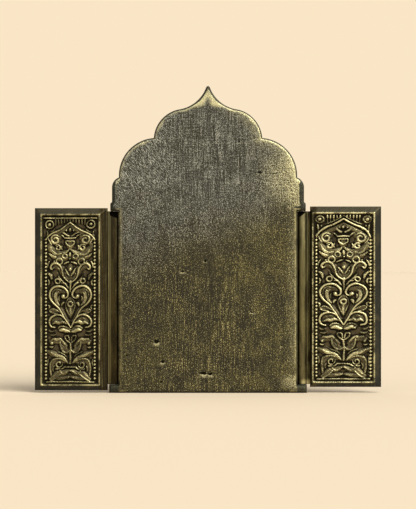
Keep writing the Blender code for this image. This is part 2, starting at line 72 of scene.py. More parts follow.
class Side(Enum):
    """The side of the central panel that a wing hangs on, as seen in the picture."""

    LEFT = -1
    RIGHT = 1


class Beading(Enum):
    """How the upright border beside the carving is cut."""

    BEADS = "beads"
    CHEVRONS = "chevrons"


# ---------------------------------------------------------------- sizes


@dataclass(frozen=True)
class PlateSizes:
    """Sizes of the central panel, in metres."""

    height: float = 150.0 * MM
    depth: float = 10.0 * MM
    waist_half: float = 43.65 * MM
    foot_overhang: float = 4.65 * MM
    foot_height: float = 4.0 * MM
    neck_overhang: float = 3.25 * MM
    shoulder_step: float = 0.85 * MM
    shoulder_height: float = 4.4 * MM
    shoulder_slope: float = 0.85 * MM
    shoulder_z: float = 88.9 * MM
    neck_height: float = 6.7 * MM
    back_chamfer: float = 0.9 * MM
    front_chamfer: float = 0.6 * MM
    rim_width: float = 4.6 * MM
    recess_depth: float = 3.8 * MM
    step_width: float = 1.6 * MM
    step_depth: float = 1.4 * MM
    sill_height: float = 8.0 * MM

    @property
    def neck_half(self) -> float:
        """Half width of the neck above the shoulders."""
        return self.waist_half + self.neck_overhang

    @property
    def spring_z(self) -> float:
        """Height at which the lobed top starts."""
        return self.shoulder_z + self.shoulder_height + self.neck_height

    @property
    def back_y(self) -> float:
        """Place of the plain back face."""
        return -self.depth / 2

    @property
    def front_y(self) -> float:
        """Place of the front face."""
        return self.depth / 2


@dataclass(frozen=True)
class HingeSizes:
    """Sizes of the hinge line that each wing turns on, in metres."""

    axis_inset: float = 1.2 * MM
    closed_clearance: float = 0.3 * MM
    barrel_radius: float = 2.0 * MM
    barrel_clearance: float = 0.7 * MM
    pivot_radius: float = 1.0 * MM
    pivot_length: float = 2.0 * MM
    pivot_clearance: float = 0.35 * MM
    end_clearance: float = 0.35 * MM
    side_clearance: float = 0.3 * MM
    web_width: float = 1.65 * MM
    stile_width: float = 4.35 * MM
    stile_rise: float = 2.3 * MM
    stile_cut: float = 3.4 * MM
    flange_thickness: float = 0.8 * MM
    rib_width: float = 0.7 * MM
    rib_height: float = 1.4 * MM
    groove_width: float = 1.0 * MM
    arm_depth: float = 1.2 * MM
    panel_lap: float = 1.0 * MM
    tuck: float = 0.1 * MM


@dataclass(frozen=True)
class WingSizes:
    """Sizes that both wings share, in metres."""

    thickness: float = 4.2 * MM
    setback: float = 0.3 * MM
    edge_thickness: float = 1.8 * MM
    ground_depth: float = 1.3 * MM
    crest_width: float = 0.5 * MM
    crest_slope: float = 0.45 * MM
    relief_rise: float = 1.15 * MM
    inner_margin: float = 4.0 * MM
    inner_depth: float = 0.8 * MM
    bead_pitch: float = 1.7 * MM
    bead_radius: float = 0.70 * MM
    meeting_gap: float = 0.4 * MM
    drawn_half: float = 11.9
    drawn_height: float = 89.1
    grid_pitch: float = 0.21 * MM


@dataclass(frozen=True)
class WingCut:
    """The sizes in which one wing differs from the other, as each was filed by hand."""

    body: Body
    side: Side
    bottom: float
    height: float
    bevel_inner: float
    bevel_outer: float
    bevel_top: float
    bevel_bottom: float
    bead_inset: float
    outer_border: Beading
    inner_lap: float = 0.0


PLATE = PlateSizes()
HINGE = HingeSizes()
WING = WingSizes()
AXIS_X = PLATE.waist_half - HINGE.axis_inset
INNER_Y = PLATE.back_y + WING.setback + WING.thickness
AXIS_Y = (PLATE.front_y + HINGE.closed_clearance + INNER_Y) / 2
WING_REACH = 2 * AXIS_X - WING.meeting_gap / 2
STILE_X = PLATE.waist_half + HINGE.side_clearance
PANEL_X = STILE_X + HINGE.stile_width + HINGE.rib_width + HINGE.groove_width
STILE_BOTTOM = PLATE.foot_height + HINGE.end_clearance
STILE_TOP = PLATE.shoulder_z - HINGE.end_clearance
REBATE_HALF = 2 * AXIS_X - (STILE_X + HINGE.web_width) - HINGE.pivot_clearance

LEFT_CUT = WingCut(Body.LEFT, Side.LEFT, 1.2 * MM, 89.1 * MM, 2.9 * MM, 3.0 * MM, 3.0 * MM,
                   2.4 * MM, 2.5 * MM, Beading.BEADS, 0.85 * MM)
RIGHT_CUT = WingCut(Body.RIGHT, Side.RIGHT, 2.8 * MM, 88.3 * MM, 0.9 * MM, 3.3 * MM, 3.0 * MM,
                    2.2 * MM, 2.0 * MM, Beading.CHEVRONS)


# ---------------------------------------------------------------- finishes


class Wire:
    """A number in a node network, which can be used in sums."""

    def __init__(self, net: "Net", socket: bpy.types.NodeSocket) -> None:
        """Keeps the network and the output that carries the number."""
        self.net = net
        self.socket = socket

    def _sum(self, operation: str, first: Any, second: Any) -> "Wire":
        """Two numbers, each a wire or a plain one, through one Math node."""
        made = self.net.node("ShaderNodeMath", {"operation": operation}, {0: first, 1: second})
        return Wire(self.net, made.outputs[0])

    def __add__(self, other: Any) -> "Wire":
        """Sum."""
        return self._sum("ADD", self, other)

    def __sub__(self, other: Any) -> "Wire":
        """Difference."""
        return self._sum("SUBTRACT", self, other)

    def __rsub__(self, other: Any) -> "Wire":
        """Difference, the other way round."""
        return self._sum("SUBTRACT", other, self)

    def __mul__(self, other: Any) -> "Wire":
        """Product."""
        return self._sum("MULTIPLY", self, other)

    __radd__ = __add__
    __rmul__ = __mul__

    def least(self, other: Any) -> "Wire":
        """The smaller of the two."""
        return self._sum("MINIMUM", self, other)

    def most(self, other: Any) -> "Wire":
        """The larger of the two."""
        return self._sum("MAXIMUM", self, other)

    def size(self) -> "Wire":
        """The number without its sign."""
        return self._sum("ABSOLUTE", self, 0.0)

    def off(self, place: float) -> "Wire":
        """How far the number is from a place."""
        return (self - place).size()

    def ramp(self, low: float, high: float) -> "Wire":
        """Smooth step from 0 at the low value to 1 at the high one, which may be the smaller."""
        made = self.net.node("ShaderNodeMapRange", {"interpolation_type": "SMOOTHSTEP"},
                             {0: self, 1: low, 2: high})
        return Wire(self.net, made.outputs[0])


class Net:
    """The node network of one material."""

    def __init__(self, name: str) -> None:
        """An empty material with its surface shader.

        Args:
            name: The material's name.
        """
        self.material = bpy.data.materials.new(name)
        self.material.use_nodes = True
        self.tree = self.material.node_tree
        self.shader = self.tree.nodes["Principled BSDF"]
        self.place = self.node("ShaderNodeTexCoord").outputs["Object"]

    def node(self, kind: str, settings: dict[str, Any] | None = None,
             inputs: dict[Any, Any] | None = None) -> bpy.types.Node:
        """Makes any node.

        Args:
            kind: Node type.
            settings: Attributes to set on it.
            inputs: Wires, sockets or constants by input name or number.

        Returns:
            The node.
        """
        made = self.tree.nodes.new(kind)
        for name, value in (settings or {}).items():
            setattr(made, name, value)
        for key, value in (inputs or {}).items():
            self.feed(made.inputs[key], value)
        return made

    def feed(self, target: bpy.types.NodeSocket, value: Any) -> None:
        """Links a wire or socket to an input, or sets a constant on it.

        Args:
            target: The input.
            value: Wire, socket or constant.
        """
        if isinstance(value, Wire):
            value = value.socket
        if isinstance(value, bpy.types.NodeSocket):
            self.tree.links.new(value, target)
        elif isinstance(value, tuple) and len(value) == 3 and target.type == "RGBA":
            target.default_value = (*value, 1.0)
        else:
            target.default_value = value

    def attribute(self, name: str) -> Wire:
        """A number kept on the mesh."""
        return Wire(self, self.node("ShaderNodeAttribute", {"attribute_name": name}).outputs["Fac"])

    def axis(self, name: str) -> Wire:
        """One coordinate of the surface, in millimetres."""
        split = self.node("ShaderNodeSeparateXYZ", None, {0: self.place})
        return Wire(self, split.outputs[name]) * (1 / MM)

    def noise(self, size: float | Sequence[float], detail: float, seed: float,
              turn: float = 0.0, distortion: float = 0.0) -> Wire:
        """Cloudy noise between 0 and 1.

        Args:
            size: Size of a cloud, or its size along each axis, in millimetres.
            detail: Number of finer layers.
            seed: Moves the pattern.
            turn: Turns the pattern about the depth axis, in degrees.
            distortion: Swirls the pattern.

        Returns:
            The noise.
        """
        edges = size if isinstance(size, tuple) else (size,) * 3
        turned = self.node("ShaderNodeMapping", {"vector_type": "POINT"}, {
            "Vector": self.place, "Rotation": (0.0, math.radians(turn), 0.0),
        })
        scaled = self.node("ShaderNodeVectorMath", {"operation": "MULTIPLY_ADD"}, {
            0: turned.outputs[0],
            1: tuple(1 / (edge * MM) for edge in edges),
            2: (seed * 3.1, seed * 7.7, seed * 5.3),
        })
        made = self.node("ShaderNodeTexNoise", {"noise_dimensions": "3D"}, {
            "Vector": scaled.outputs[0], "Scale": 1.0, "Detail": detail, "Distortion": distortion,
        })
        return Wire(self, made.outputs[0])

    def mix(self, amount: Any, first: Any, second: Any) -> bpy.types.NodeSocket:
        """Two colours mixed: an amount of 0 gives the first, and 1 the second."""
        made = self.node("ShaderNodeMix", {"data_type": "RGBA"}, {0: amount, 6: first, 7: second})
        return made.outputs[2]

    def finish(self, colour: Any, metallic: Any, roughness: Any, relief: Any,
               relief_height: float) -> bpy.types.Material:
        """Joins the parts of the finish to the surface shader.

        Args:
            colour: Base colour.
            metallic: Share of bare metal.
            roughness: Roughness.
            relief: Fine surface height between 0 and 1.
            relief_height: Height in metres of a relief of 1.

        Returns:
            The material.
        """
        bump = self.node("ShaderNodeBump", None, {
            "Strength": 1.0, "Distance": relief_height, "Height": relief,
        })
        for name, value in (("Base Color", colour), ("Metallic", metallic),
                            ("Roughness", roughness), ("Normal", bump.outputs[0])):
            self.feed(self.shader.inputs[name], value)
        return self.material


@dataclass(frozen=True)
class PlateFinish:
    """Scoured and tarnished brass of the plain back: grey above, golden olive below, with painted
    highlights and shade.
    """

    grey: Colour = (0.098, 0.100, 0.082)
    olive: Colour = (0.070, 0.059, 0.020)
    gold: Colour = (0.160, 0.136, 0.044)
    dark: Colour = (0.027, 0.024, 0.014)
    glint: Colour = (0.58, 0.505, 0.225)
    pale_glint: Colour = (0.43, 0.43, 0.35)
    bright: Colour = (0.74, 0.68, 0.38)
    edge_line: Colour = (0.018, 0.021, 0.014)
    pit_shade: Colour = (0.004, 0.004, 0.003)
    wall: Colour = (0.062, 0.056, 0.028)

    def material(self) -> bpy.types.Material:
        """Mixes the coats of the finish.

        Returns:
            The finished material.
        """
        net = Net("aged_plate_brass")
        up, across, deep = net.axis("Z"), net.axis("X"), net.axis("Y")
        edge, pit, lip = (net.attribute(name) for name in ("edge", "pit", "lip"))
        drift, cloud, speck = net.noise(17, 3, 1.0), net.noise(8, 4, 2.0), net.noise(0.85, 3, 4.0)
        grit, dots = net.noise(0.36, 2, 3.0), net.noise((0.60, 0.60, 0.85), 1, 9.0)
        rows = net.noise((2.6, 9, 34), 2, 8.0, distortion=0.3)
        upright = net.noise((0.25, 5, 7.0), 3, 5.0, distortion=0.15)
        level = net.noise((8.0, 5, 0.24), 3, 6.0, distortion=0.10)
        slant = net.noise((0.26, 5, 3.0), 3, 7.0, turn=38)

        # Grey above and golden olive below, with darker clouds; painted light makes the right side
        # more golden, and painted shade darkens the left middle.
        high = (up - across * 0.35 + (drift - 0.5) * 36).ramp(60, 92)
        base = net.mix(high, self.olive, self.grey)
        lit_right_side = (across + (drift - 0.5) * 60).ramp(2, 40)
        golden = (drift.ramp(0.46, 0.66) * 0.4 + lit_right_side * 0.5) * (1 - high * 0.8)
        base = net.mix(golden, base, self.gold)
        shade = across.ramp(16, -14) * up.off(62).ramp(30, 8)
        clouded = cloud.ramp(0.56, 0.38) * (0.75 - 0.35 * high)
        base = net.mix((clouded + shade * 0.42).least(0.88), base, self.dark)

        # File scratches: upright below, crossed above, aslant in the left lobe.
        middle = across.size().ramp(30, 10)
        left = across.ramp(-12, -24) * up.ramp(92, 104)
        crossed = up.ramp(84, 104) * (0.30 + 0.70 * middle) * cloud.ramp(0.30, 0.52)
        grained = up.ramp(74, 40) * (0.25 + 0.75 * middle)
        sunlit = across.ramp(22, 42) * up.ramp(88, 102) * up.ramp(124, 108)
        lines = (upright - 0.5) * (0.40 + (grained + crossed).least(1.0))
        lines = lines + (level - 0.5) * (crossed * 0.9 + sunlit) + (slant - 0.5) * left * 2.4
        scored = across.off(4.8).ramp(1.6, 0.3) * up.off(127).ramp(9, 2)
        fleck = (grit - 0.5) * (2.6 - 0.6 * crossed) + (speck - 0.5) * 0.5 + lines
        fleck = fleck + scored * (grit - 0.35)
        tone = fleck - (1 - high) * 0.115 - 0.03
        base = net.mix(tone.ramp(0.12, -0.20) * 0.93, base, self.dark)
        shine = net.mix(high, self.glint, self.pale_glint)
        base = net.mix(tone.ramp(0.08, 0.40) * (0.38 + 0.7 * cloud + 0.1 * high), base, shine)
        base = net.mix(speck.ramp(0.36, 0.29) * 0.8, base, self.dark)
        dotted = dots.ramp(0.42, 0.32) * rows.ramp(0.46, 0.58) * (1 - high)
        base = net.mix(dotted * 0.80, base, self.dark)

        # Rubbed brass on the lobes and the tip, brighter towards the right as painted highlight;
        # painted highlight mixed with rubbing on the right shoulder, flank and lower corner, and
        # painted highlight on the pits' lower lips.
        ragged = edge + (speck - 0.5) * 2.6 + (cloud - 0.5) * 5.0 + (grit - 0.5) * 1.2
        broken = grit.ramp(0.36, 0.60)
        lobes = ragged.ramp(2.2, 0.4) * up.ramp(96, 103) * (0.70 + 0.5 * across.ramp(-20, 20))
        streaks = (slant - 0.42).most(0.0) * 3.0
        lobes = lobes + ragged.ramp(7.0, 1.5) * across.ramp(2, 24) * up.ramp(100, 110) * streaks
        tip = ragged.ramp(4.4, 2.4) * up.ramp(138.5, 141.5) * up.ramp(148.4, 145.4)
        under = across.ramp(37, 45) * up.ramp(88.4, 90.5) * up.ramp(103, 95)
        shoulder = (sunlit * (fleck * 2.4 + 0.36) + under * (fleck * 1.2 + 0.42)).most(0.0)
        flank = across.ramp(37, 44) * up.ramp(92, 80) * up.ramp(6, 20)
        flank = flank * (0.12 + fleck * 0.5).most(0.0)
        corner = across.ramp(33, 42) * up.off(5.5).ramp(4.5, 1.0) * grit.ramp(0.40, 0.62) * 0.7
        wear_and_highlight = lobes * (0.25 + broken * 0.85) + tip * (0.5 + broken * 0.7) + shoulder * 0.9
        wear_and_highlight = (wear_and_highlight + flank + corner + lip * (0.45 + grit * 0.8)).least(1.0).most(0.0)
        # Painted highlight along the rounded sides, stronger on the right.
        side = ragged.ramp(1.9, 0.8) * up.ramp(100, 92) * across.size().ramp(39, 42)
        side = side * (0.30 + 0.18 * across.ramp(-5, 30)) * cloud.ramp(0.30, 0.52)
        base = net.mix((side * (0.4 + grit)).least(1.0), base, self.glint)
        base = net.mix(wear_and_highlight * 0.88, base, self.bright)

        # The recessed front: a dark field inside a bright step.
        base = net.mix(deep.ramp(2.9, 1.9) * deep.ramp(-1.0, 0.5) * 0.55, base, self.dark)
        rim = deep.ramp(4.3, 4.1) * deep.ramp(3.2, 3.4)
        base = net.mix(rim * grit.ramp(0.34, 0.62) * 0.45, base, self.bright)

        # Painted shade in the black pits and on the feet, and the dark line along the chamfer,
        # partly dark patina and partly painted shade, wider at the neck and the tip.
        pit_shade = pit.ramp(0.05, 0.45)
        base = net.mix(pit_shade * 0.93, base, self.pit_shade)
        outer = (up.ramp(89.6, 90.8) + across.size().ramp(45.0, 46.0)).least(1.0)
        wide = up.ramp(103.5, 101.5) * up.ramp(88.0, 89.0) * (0.9 + 0.75 * across.ramp(-10, 10))
        wide = wide * outer + up.ramp(139, 143) * 0.35
        faint = up.ramp(5.0, 6.5) * up.ramp(88.6, 87.8) * (0.25 + 0.65 * across.ramp(5, -5))
        foot = across.size().ramp(43.2, 44.0) * up.ramp(5.0, 4.2)
        line = ((edge - wide).ramp(0.85, 0.50) * (0.94 - faint) + foot * 0.82).least(0.95)
        wall = deep.size().ramp(4.6, 4.0) * edge.ramp(0.4, 0.2)
        walls = net.mix(wall * cloud.ramp(0.40, 0.62), self.edge_line, self.wall)
        base = net.mix(line, base, walls)
        relief = fleck * 0.8 + cloud * 1.2
        return net.finish(base, 0.78 + 0.22 * pit_shade, 0.50 - 0.12 * wear_and_highlight, relief, 0.10 * MM)


@dataclass(frozen=True)
class WingFinish:
    """Cast and rubbed brass of the wings: pale on the tops, black-brown in the hollows."""

    hollow: Colour = (0.009, 0.008, 0.005)
    ground: Colour = (0.088, 0.068, 0.033)
    flank: Colour = (0.128, 0.110, 0.050)
    top: Colour = (0.80, 0.74, 0.40)
    bevel: Colour = (0.029, 0.029, 0.022)
    bevel_pale_and_lit: Colour = (0.060, 0.053, 0.029)
    bevel_inner: Colour = (0.038, 0.027, 0.007)

    def material(self) -> bpy.types.Material:
        """Mixes the coats of the finish.

        Returns:
            The finished material.
        """
        net = Net("carved_wing_brass")
        rise, hollow, bevel = (net.attribute(name) for name in ("rise", "hollow", "bevel"))
        height, out = net.axis("Z"), net.axis("X").size()
        cloud, fine = net.noise(5, 4, 11.0), net.noise(0.42, 3, 12.0)
        streak, thread = net.noise((0.5, 3, 5), 3, 13.0), net.noise((0.42, 4, 26), 3, 14.0)

        # The carving: dark ground and hollows, rubbed tops.
        base = net.mix(rise.ramp(0.05, 0.7), self.ground, self.flank)
        base = net.mix((fine + (cloud - 0.5)).ramp(0.55, 0.28) * 0.6, base, self.hollow)
        rubbed = rise + (cloud - 0.5) * 0.75 + (fine - 0.5) * 1.5 - hollow * 0.9
        rubbed = rubbed.ramp(0.66, 1.08)
        base = net.mix(rubbed * (0.84 + 0.12 * height.ramp(40, 66)), base, self.top)
        base = net.mix(hollow.ramp(0.08, 0.68) * 0.90, base, self.hollow)

        # The bevels: smooth outside, pale in clouds, with the top bevel lighter as painted light,
        # and threads of dirt and rubbing along the inner one.
        pale = (cloud.ramp(0.46, 0.70) + height.ramp(86.0, 89.0) * 0.9).least(1.0)
        flat = net.mix(pale, self.bevel, self.bevel_pale_and_lit)
        flat = net.mix(streak.ramp(0.64, 0.76) * 0.12 + fine.ramp(0.68, 0.8) * 0.10, flat, self.top)
        inner = out.ramp(53.5, 52.5)
        flat = net.mix(inner, flat, self.bevel_inner)
        flat = net.mix(thread.ramp(0.53, 0.42) * inner * 0.62, flat, self.hollow)
        flat = net.mix(thread.ramp(0.56, 0.66) * inner * 0.14, flat, self.top)
        flat = net.mix(out.ramp(83.4, 84.2) * 0.5, flat, self.hollow)
        base = net.mix(bevel, base, flat)
        rough = 0.45 + 0.14 * hollow - 0.08 * rubbed + 0.05 * bevel
        metal = 0.82 + 0.16 * hollow.ramp(0.1, 0.8)
        relief = fine * 0.8 + cloud * 0.8 + streak * 0.2
        return net.finish(base, metal, rough, relief, 0.07 * MM)


@dataclass(frozen=True)
class StileFinish:
    """Brown brass of the hinge strips: painted highlight along the crown and heel, rubbing and
    painted highlight on the rib, painted shade on the strip's flanks, and painted shade with dark
    patina in the top pocket.
    """

    brown: Colour = (0.048, 0.036, 0.012)
    dark: Colour = (0.020, 0.015, 0.006)
    pocket_patina_and_shade: Colour = (0.003, 0.003, 0.002)
    bright: Colour = (0.52, 0.46, 0.22)
    sheen: float = 0.0
    wear_and_shine: float = 0.35
    line: float = 0.0
    crown: float = 46.2
    cut_slope: float = 0.8

    def material(self) -> bpy.types.Material:
        """Mixes the coats of the finish.

        Returns:
            The finished material.
        """
        net = Net("stile_brass")
        cloud, fine = net.noise((2.5, 2.5, 12), 4, 21.0), net.noise((0.4, 0.4, 2.2), 3, 22.0)
        thread = net.noise((0.20, 0.20, 16), 3, 23.0)
        # The rib and the pins are marked as rubbed; on the rib the brightness is partly painted
        # highlight.
        rubbed = net.attribute("rubbed") * self.wear_and_shine
        height, out = net.axis("Z"), net.axis("X").size()
        cut = (STILE_TOP - HINGE.stile_cut - self.cut_slope * STILE_X) / MM
        # Painted shade, with dark patina, in the pocket above the slanted cut of the strip.
        pocket_patina_and_shade = (height - out * self.cut_slope - cut).ramp(-0.1, 0.2) * out.ramp(48.3, 48.0)
        base = net.mix(cloud.ramp(0.60, 0.38), self.brown, self.dark)
        base = net.mix(thread.ramp(0.50, 0.36) * 0.6, base, self.dark)

        # Painted highlight along the crown of the strip and at its heel, and rubbing with painted
        # highlight on the rib.
        crown = out.off(self.crown).ramp(1.7, 0.2) * self.sheen
        crown = crown * (0.62 + 1.3 * height.ramp(68, 84) + 0.6 * height.ramp(30, 14))
        bright = rubbed * (0.25 + cloud) + crown * (cloud + (thread - 0.5) * 1.6 + 0.3).most(0.0)
        bright = bright + out.off(48.0).ramp(0.75, 0.15) * (0.4 + cloud) * self.line
        bright = bright + height.ramp(7.2, 5.2) * out.ramp(45.0, 46.5) * self.sheen * 2.8
        bright = (bright + fine.ramp(0.60, 0.80) * 0.25).least(1.0)
        base = net.mix(bright, base, self.bright)
        base = net.mix(pocket_patina_and_shade, base, self.pocket_patina_and_shade)
        # Painted shade on the strip's flanks, either side of its crown.
        sides = out.off(self.crown).ramp(1.2, 2.2) * out.ramp(48.6, 48.2) * 0.7
        base = net.mix(sides, base, self.dark)
        net.feed(net.shader.inputs["Specular IOR Level"], 0.1)
        rough = 0.44 - 0.06 * rubbed + 0.5 * pocket_patina_and_shade
        return net.finish(base, 0.62 * (1 - pocket_patina_and_shade), rough, fine + cloud, 0.06 * MM)


# ---------------------------------------------------------------- shapes


def arc(start: Point, middle: Point, end: Point, steps: int) -> list[Point]:
    """Points on the circle through three points.

    Args:
        start: First point, which isn't returned.
        middle: A point that the arc passes.
        end: Last point.
        steps: Number of points.

    Returns:
        The points from start to end, without the start.
    """
    a, b, c = (Vector(p) for p in (start, middle, end))
    twice = 2 * (a.x * (b.y - c.y) + b.x * (c.y - a.y) + c.x * (a.y - b.y))
    squares = [p.length_squared for p in (a, b, c)]
    centre = Vector((
        (squares[0] * (b.y - c.y) + squares[1] * (c.y - a.y) + squares[2] * (a.y - b.y)) / twice,
        (squares[0] * (c.x - b.x) + squares[1] * (a.x - c.x) + squares[2] * (b.x - a.x)) / twice,
    ))
    first, via, last = (math.atan2(p.y - centre.y, p.x - centre.x) for p in (a, b, c))
    turn = (last - first) % math.tau
    if (via - first) % math.tau > turn:
        turn -= math.tau
    radius = (a - centre).length
    angles = [first + turn * step / steps for step in range(1, steps + 1)]
    return [(centre.x + radius * math.cos(t), centre.y + radius * math.sin(t)) for t in angles]


def lobed_arch(half: float, spring: float, rise: float, steps: int) -> list[Point]:
    """The right half of the lobed top.

    Args:
        half: Half width at the spring line.
        spring: Height of the spring line.
        rise: Height of the tip over the spring line.
        steps: Points to each large lobe.

    Returns:
        The points from the spring line to the tip.
    """

    def at(across: float, up: float) -> Point:
        """A place given as shares of the arch."""
        return (across * half, spring + up * rise)

    low_cusp, high_cusp, ogee = at(0.928, 0.105), at(0.565, 0.49), at(0.31, 0.768)
    points = [at(1.0, 0.0)]
    points += arc(points[-1], at(0.985, 0.06), low_cusp, steps // 2)
    points += arc(low_cusp, at(0.832, 0.365), high_cusp, steps)
    points += arc(high_cusp, at(0.49, 0.665), ogee, steps)
    points += arc(ogee, at(0.115, 0.852), at(0.017, 0.99), steps // 2)
    points.append(at(0.0, 1.0))
    return points


def mirrored(right_half: list[Point]) -> list[Point]:
    """A closed outline from its right half, which may start and end on the middle line."""
    return right_half + [(-x, z) for x, z in reversed(right_half) if x > 1e-9]


def filled(outline: list[Point], longest: float) -> list[Point]:
    """An outline with points added on its long sides.

    Args:
        outline: Closed outline.
        longest: Longest side allowed.

    Returns:
        The closer outline.
    """
    found = []
    for start, end in zip(outline, outline[1:] + outline[:1]):
        parts = max(1, math.ceil(math.dist(start, end) / longest))
        side = (end[0] - start[0], end[1] - start[1])
        found += [(start[0] + side[0] * k / parts, start[1] + side[1] * k / parts)
                  for k in range(parts)]
    return found


def distance_to(outline: list[Point], across: Array, up: Array) -> Array:
    """Distance of each point from the nearest side of an outline.

    Args:
        outline: Closed outline.
        across: First coordinates of the points.
        up: Second coordinates of the points.

    Returns:
        The distances.
    """
    nearest = np.full(across.shape, np.inf)
    for (x0, z0), (x1, z1) in zip(outline, outline[1:] + outline[:1]):
        dx, dz = x1 - x0, z1 - z0
        share = np.clip(((across - x0) * dx + (up - z0) * dz) / (dx * dx + dz * dz), 0, 1)
        reach = (across - x0 - share * dx) ** 2 + (up - z0 - share * dz) ** 2
        nearest = np.minimum(nearest, reach)
    return np.sqrt(nearest)


def soft_noise(across: Array, up: Array, pitch: float, seed: int) -> Array:
    """Smooth noise between -1 and 1.

    Args:
        across: First coordinates.
        up: Second coordinates.
        pitch: Distance over which the noise changes.
        seed: Number that picks the pattern.

    Returns:
        The noise at each point.
    """
    table = np.random.default_rng(seed).uniform(-1, 1, (256, 256))
    u, v = across / pitch + 64.0, up / pitch + 64.0
    i, j = np.floor(u).astype(int), np.floor(v).astype(int)
    s, t = u - i, v - j
    s, t = s * s * (3 - 2 * s), t * t * (3 - 2 * t)
    corner = [table[(i + a) % 256, (j + b) % 256] for a in (0, 1) for b in (0, 1)]
    return (corner[0] * (1 - s) * (1 - t) + corner[1] * (1 - s) * t
            + corner[2] * s * (1 - t) + corner[3] * s * t)


class Workshop:
    """Makes, joins and cuts mesh objects."""

    @staticmethod
    def alone(item: bpy.types.Object) -> None:
        """Selects one object and nothing else.

        Args:
            item: The object.
        """
        bpy.ops.object.select_all(action="DESELECT")
        item.select_set(True)
        bpy.context.view_layer.objects.active = item

    @staticmethod
    def piece(name: str, points: Sequence[Any], faces: Sequence[Any]) -> bpy.types.Object:
        """A mesh object from points and faces.

        Args:
            name: The object's name.
            points: Corners in metres.
            faces: Corner numbers of each face.

        Returns:
            The object, with its faces turned outwards.
        """
        mesh = bpy.data.meshes.new(name)
        mesh.from_pydata(points, [], faces)
        mesh.validate()
        made = bpy.data.objects.new(name, mesh)
        bpy.context.scene.collection.objects.link(made)
        Workshop.outwards(made)
        return made

    @staticmethod
    def edit(item: bpy.types.Object, *steps: Callable[[], Any]) -> None:
        """Works on the whole of an object in edit mode.

        Args:
            item: The object.
            steps: What is done to it, in order.
        """
        Workshop.alone(item)
        bpy.ops.object.mode_set(mode="EDIT")
        bpy.ops.mesh.select_all(action="SELECT")
        for step in steps:
            step()
        bpy.ops.object.mode_set(mode="OBJECT")

    @staticmethod
    def outwards(item: bpy.types.Object) -> None:
        """Turns all faces of an object outwards."""
        Workshop.edit(item, partial(bpy.ops.mesh.normals_make_consistent, inside=False))

    @staticmethod
    def modify(item: bpy.types.Object, kind: str, **settings: Any) -> bpy.types.Object:
        """Adds a modifier to an object and applies it.

        Args:
            item: The object.
            kind: Type of the modifier.
            **settings: Its settings.

        Returns:
            The same object.
        """
        Workshop.alone(item)
        modifier = item.modifiers.new(kind.lower(), kind)
        for name, value in settings.items():
            setattr(modifier, name, value)
        bpy.ops.object.modifier_apply(modifier=modifier.name)
        return item

    @staticmethod
    def placed(name: str, scale: Sequence[float] = (1.0, 1.0, 1.0)) -> bpy.types.Object:
        """Names the primitive just added and puts its place and scale into its mesh.

        Args:
            name: The object's name.
            scale: Its size along each axis.

        Returns:
            The object.
        """
        made = bpy.context.object
        made.name = name
        made.scale = scale
        bpy.ops.object.transform_apply(location=True, rotation=True, scale=True)
        return made

    @staticmethod
    def bar(name: str, outline: list[Point], low: float, high: float) -> bpy.types.Object:
        """An outline in the ground plane, drawn up into a bar.

        Args:
            name: The object's name.
            outline: Closed outline.
            low: Height of the lower end.
            high: Height of the upper end.

        Returns:
            The bar.
        """
        count = len(outline)
        points = [(x, y, z) for z in (low, high) for x, y in outline]
        faces: list[Any] = [tuple(range(count)), tuple(range(count, 2 * count))]
        faces += [(k, (k + 1) % count, (k + 1) % count + count, k + count) for k in range(count)]
        return Workshop.piece(name, points, faces)

    @staticmethod
    def block(name: str, low: Sequence[float], high: Sequence[float]) -> bpy.types.Object:
        """A box between two corners.

        Args:
            name: The object's name.
            low: Lowest corner.
            high: Highest corner.

        Returns:
            The box.
        """
        middle = [(a + b) / 2 for a, b in zip(low, high)]
        bpy.ops.mesh.primitive_cube_add(size=1.0, location=middle)
        return Workshop.placed(name, [b - a for a, b in zip(low, high)])

    @staticmethod
    def rod(name: str, centre: Point, radius: float, low: float, high: float,
            sides: int = 32) -> bpy.types.Object:
        """An upright round rod.

        Args:
            name: The object's name.
            centre: Place of its axis.
            radius: Its radius.
            low: Height of the lower end.
            high: Height of the upper end.
            sides: Number of sides.

        Returns:
            The rod.
        """
        bpy.ops.mesh.primitive_cylinder_add(vertices=sides, radius=radius, depth=high - low,
                                            location=(*centre, (low + high) / 2))
        return Workshop.placed(name)

    @staticmethod
    def cut(target: bpy.types.Object, tool: bpy.types.Object) -> None:
        """Cuts a tool out of the target and removes the tool."""
        Workshop.modify(target, "BOOLEAN", operation="DIFFERENCE", solver="EXACT", object=tool)
        bpy.data.objects.remove(tool, do_unlink=True)

    @staticmethod
    def softened(item: bpy.types.Object, width: float, segments: int = 2) -> bpy.types.Object:
        """Rounds the sharp edges of an object, with some faces across the rounding."""
        return Workshop.modify(item, "BEVEL", width=width, segments=segments,
                               limit_method="ANGLE", angle_limit=math.radians(SHARP_ANGLE))

    @staticmethod
    def smooth(item: bpy.types.Object, angle: float = SHARP_ANGLE) -> None:
        """Shades smoothly, but for edges that turn more than the angle, in degrees."""
        Workshop.alone(item)
        bpy.ops.object.shade_smooth_by_angle(angle=math.radians(angle))

    @staticmethod
    def mark(item: bpy.types.Object, name: str, values: Array) -> None:
        """Keeps one named number for each corner of a mesh."""
        layer = item.data.attributes.new(name, "FLOAT", "POINT")
        layer.data.foreach_set("value", np.asarray(values, dtype=np.float32))

    @staticmethod
    def corners(item: bpy.types.Object) -> Array:
        """Reads the corners of a mesh.

        Args:
            item: The object.

        Returns:
            Their places, one to a row.
        """
        flat = np.empty(len(item.data.vertices) * 3, dtype=np.float32)
        item.data.vertices.foreach_get("co", flat)
        return flat.reshape(-1, 3).astype(float)


# ---------------------------------------------------------------- central panel


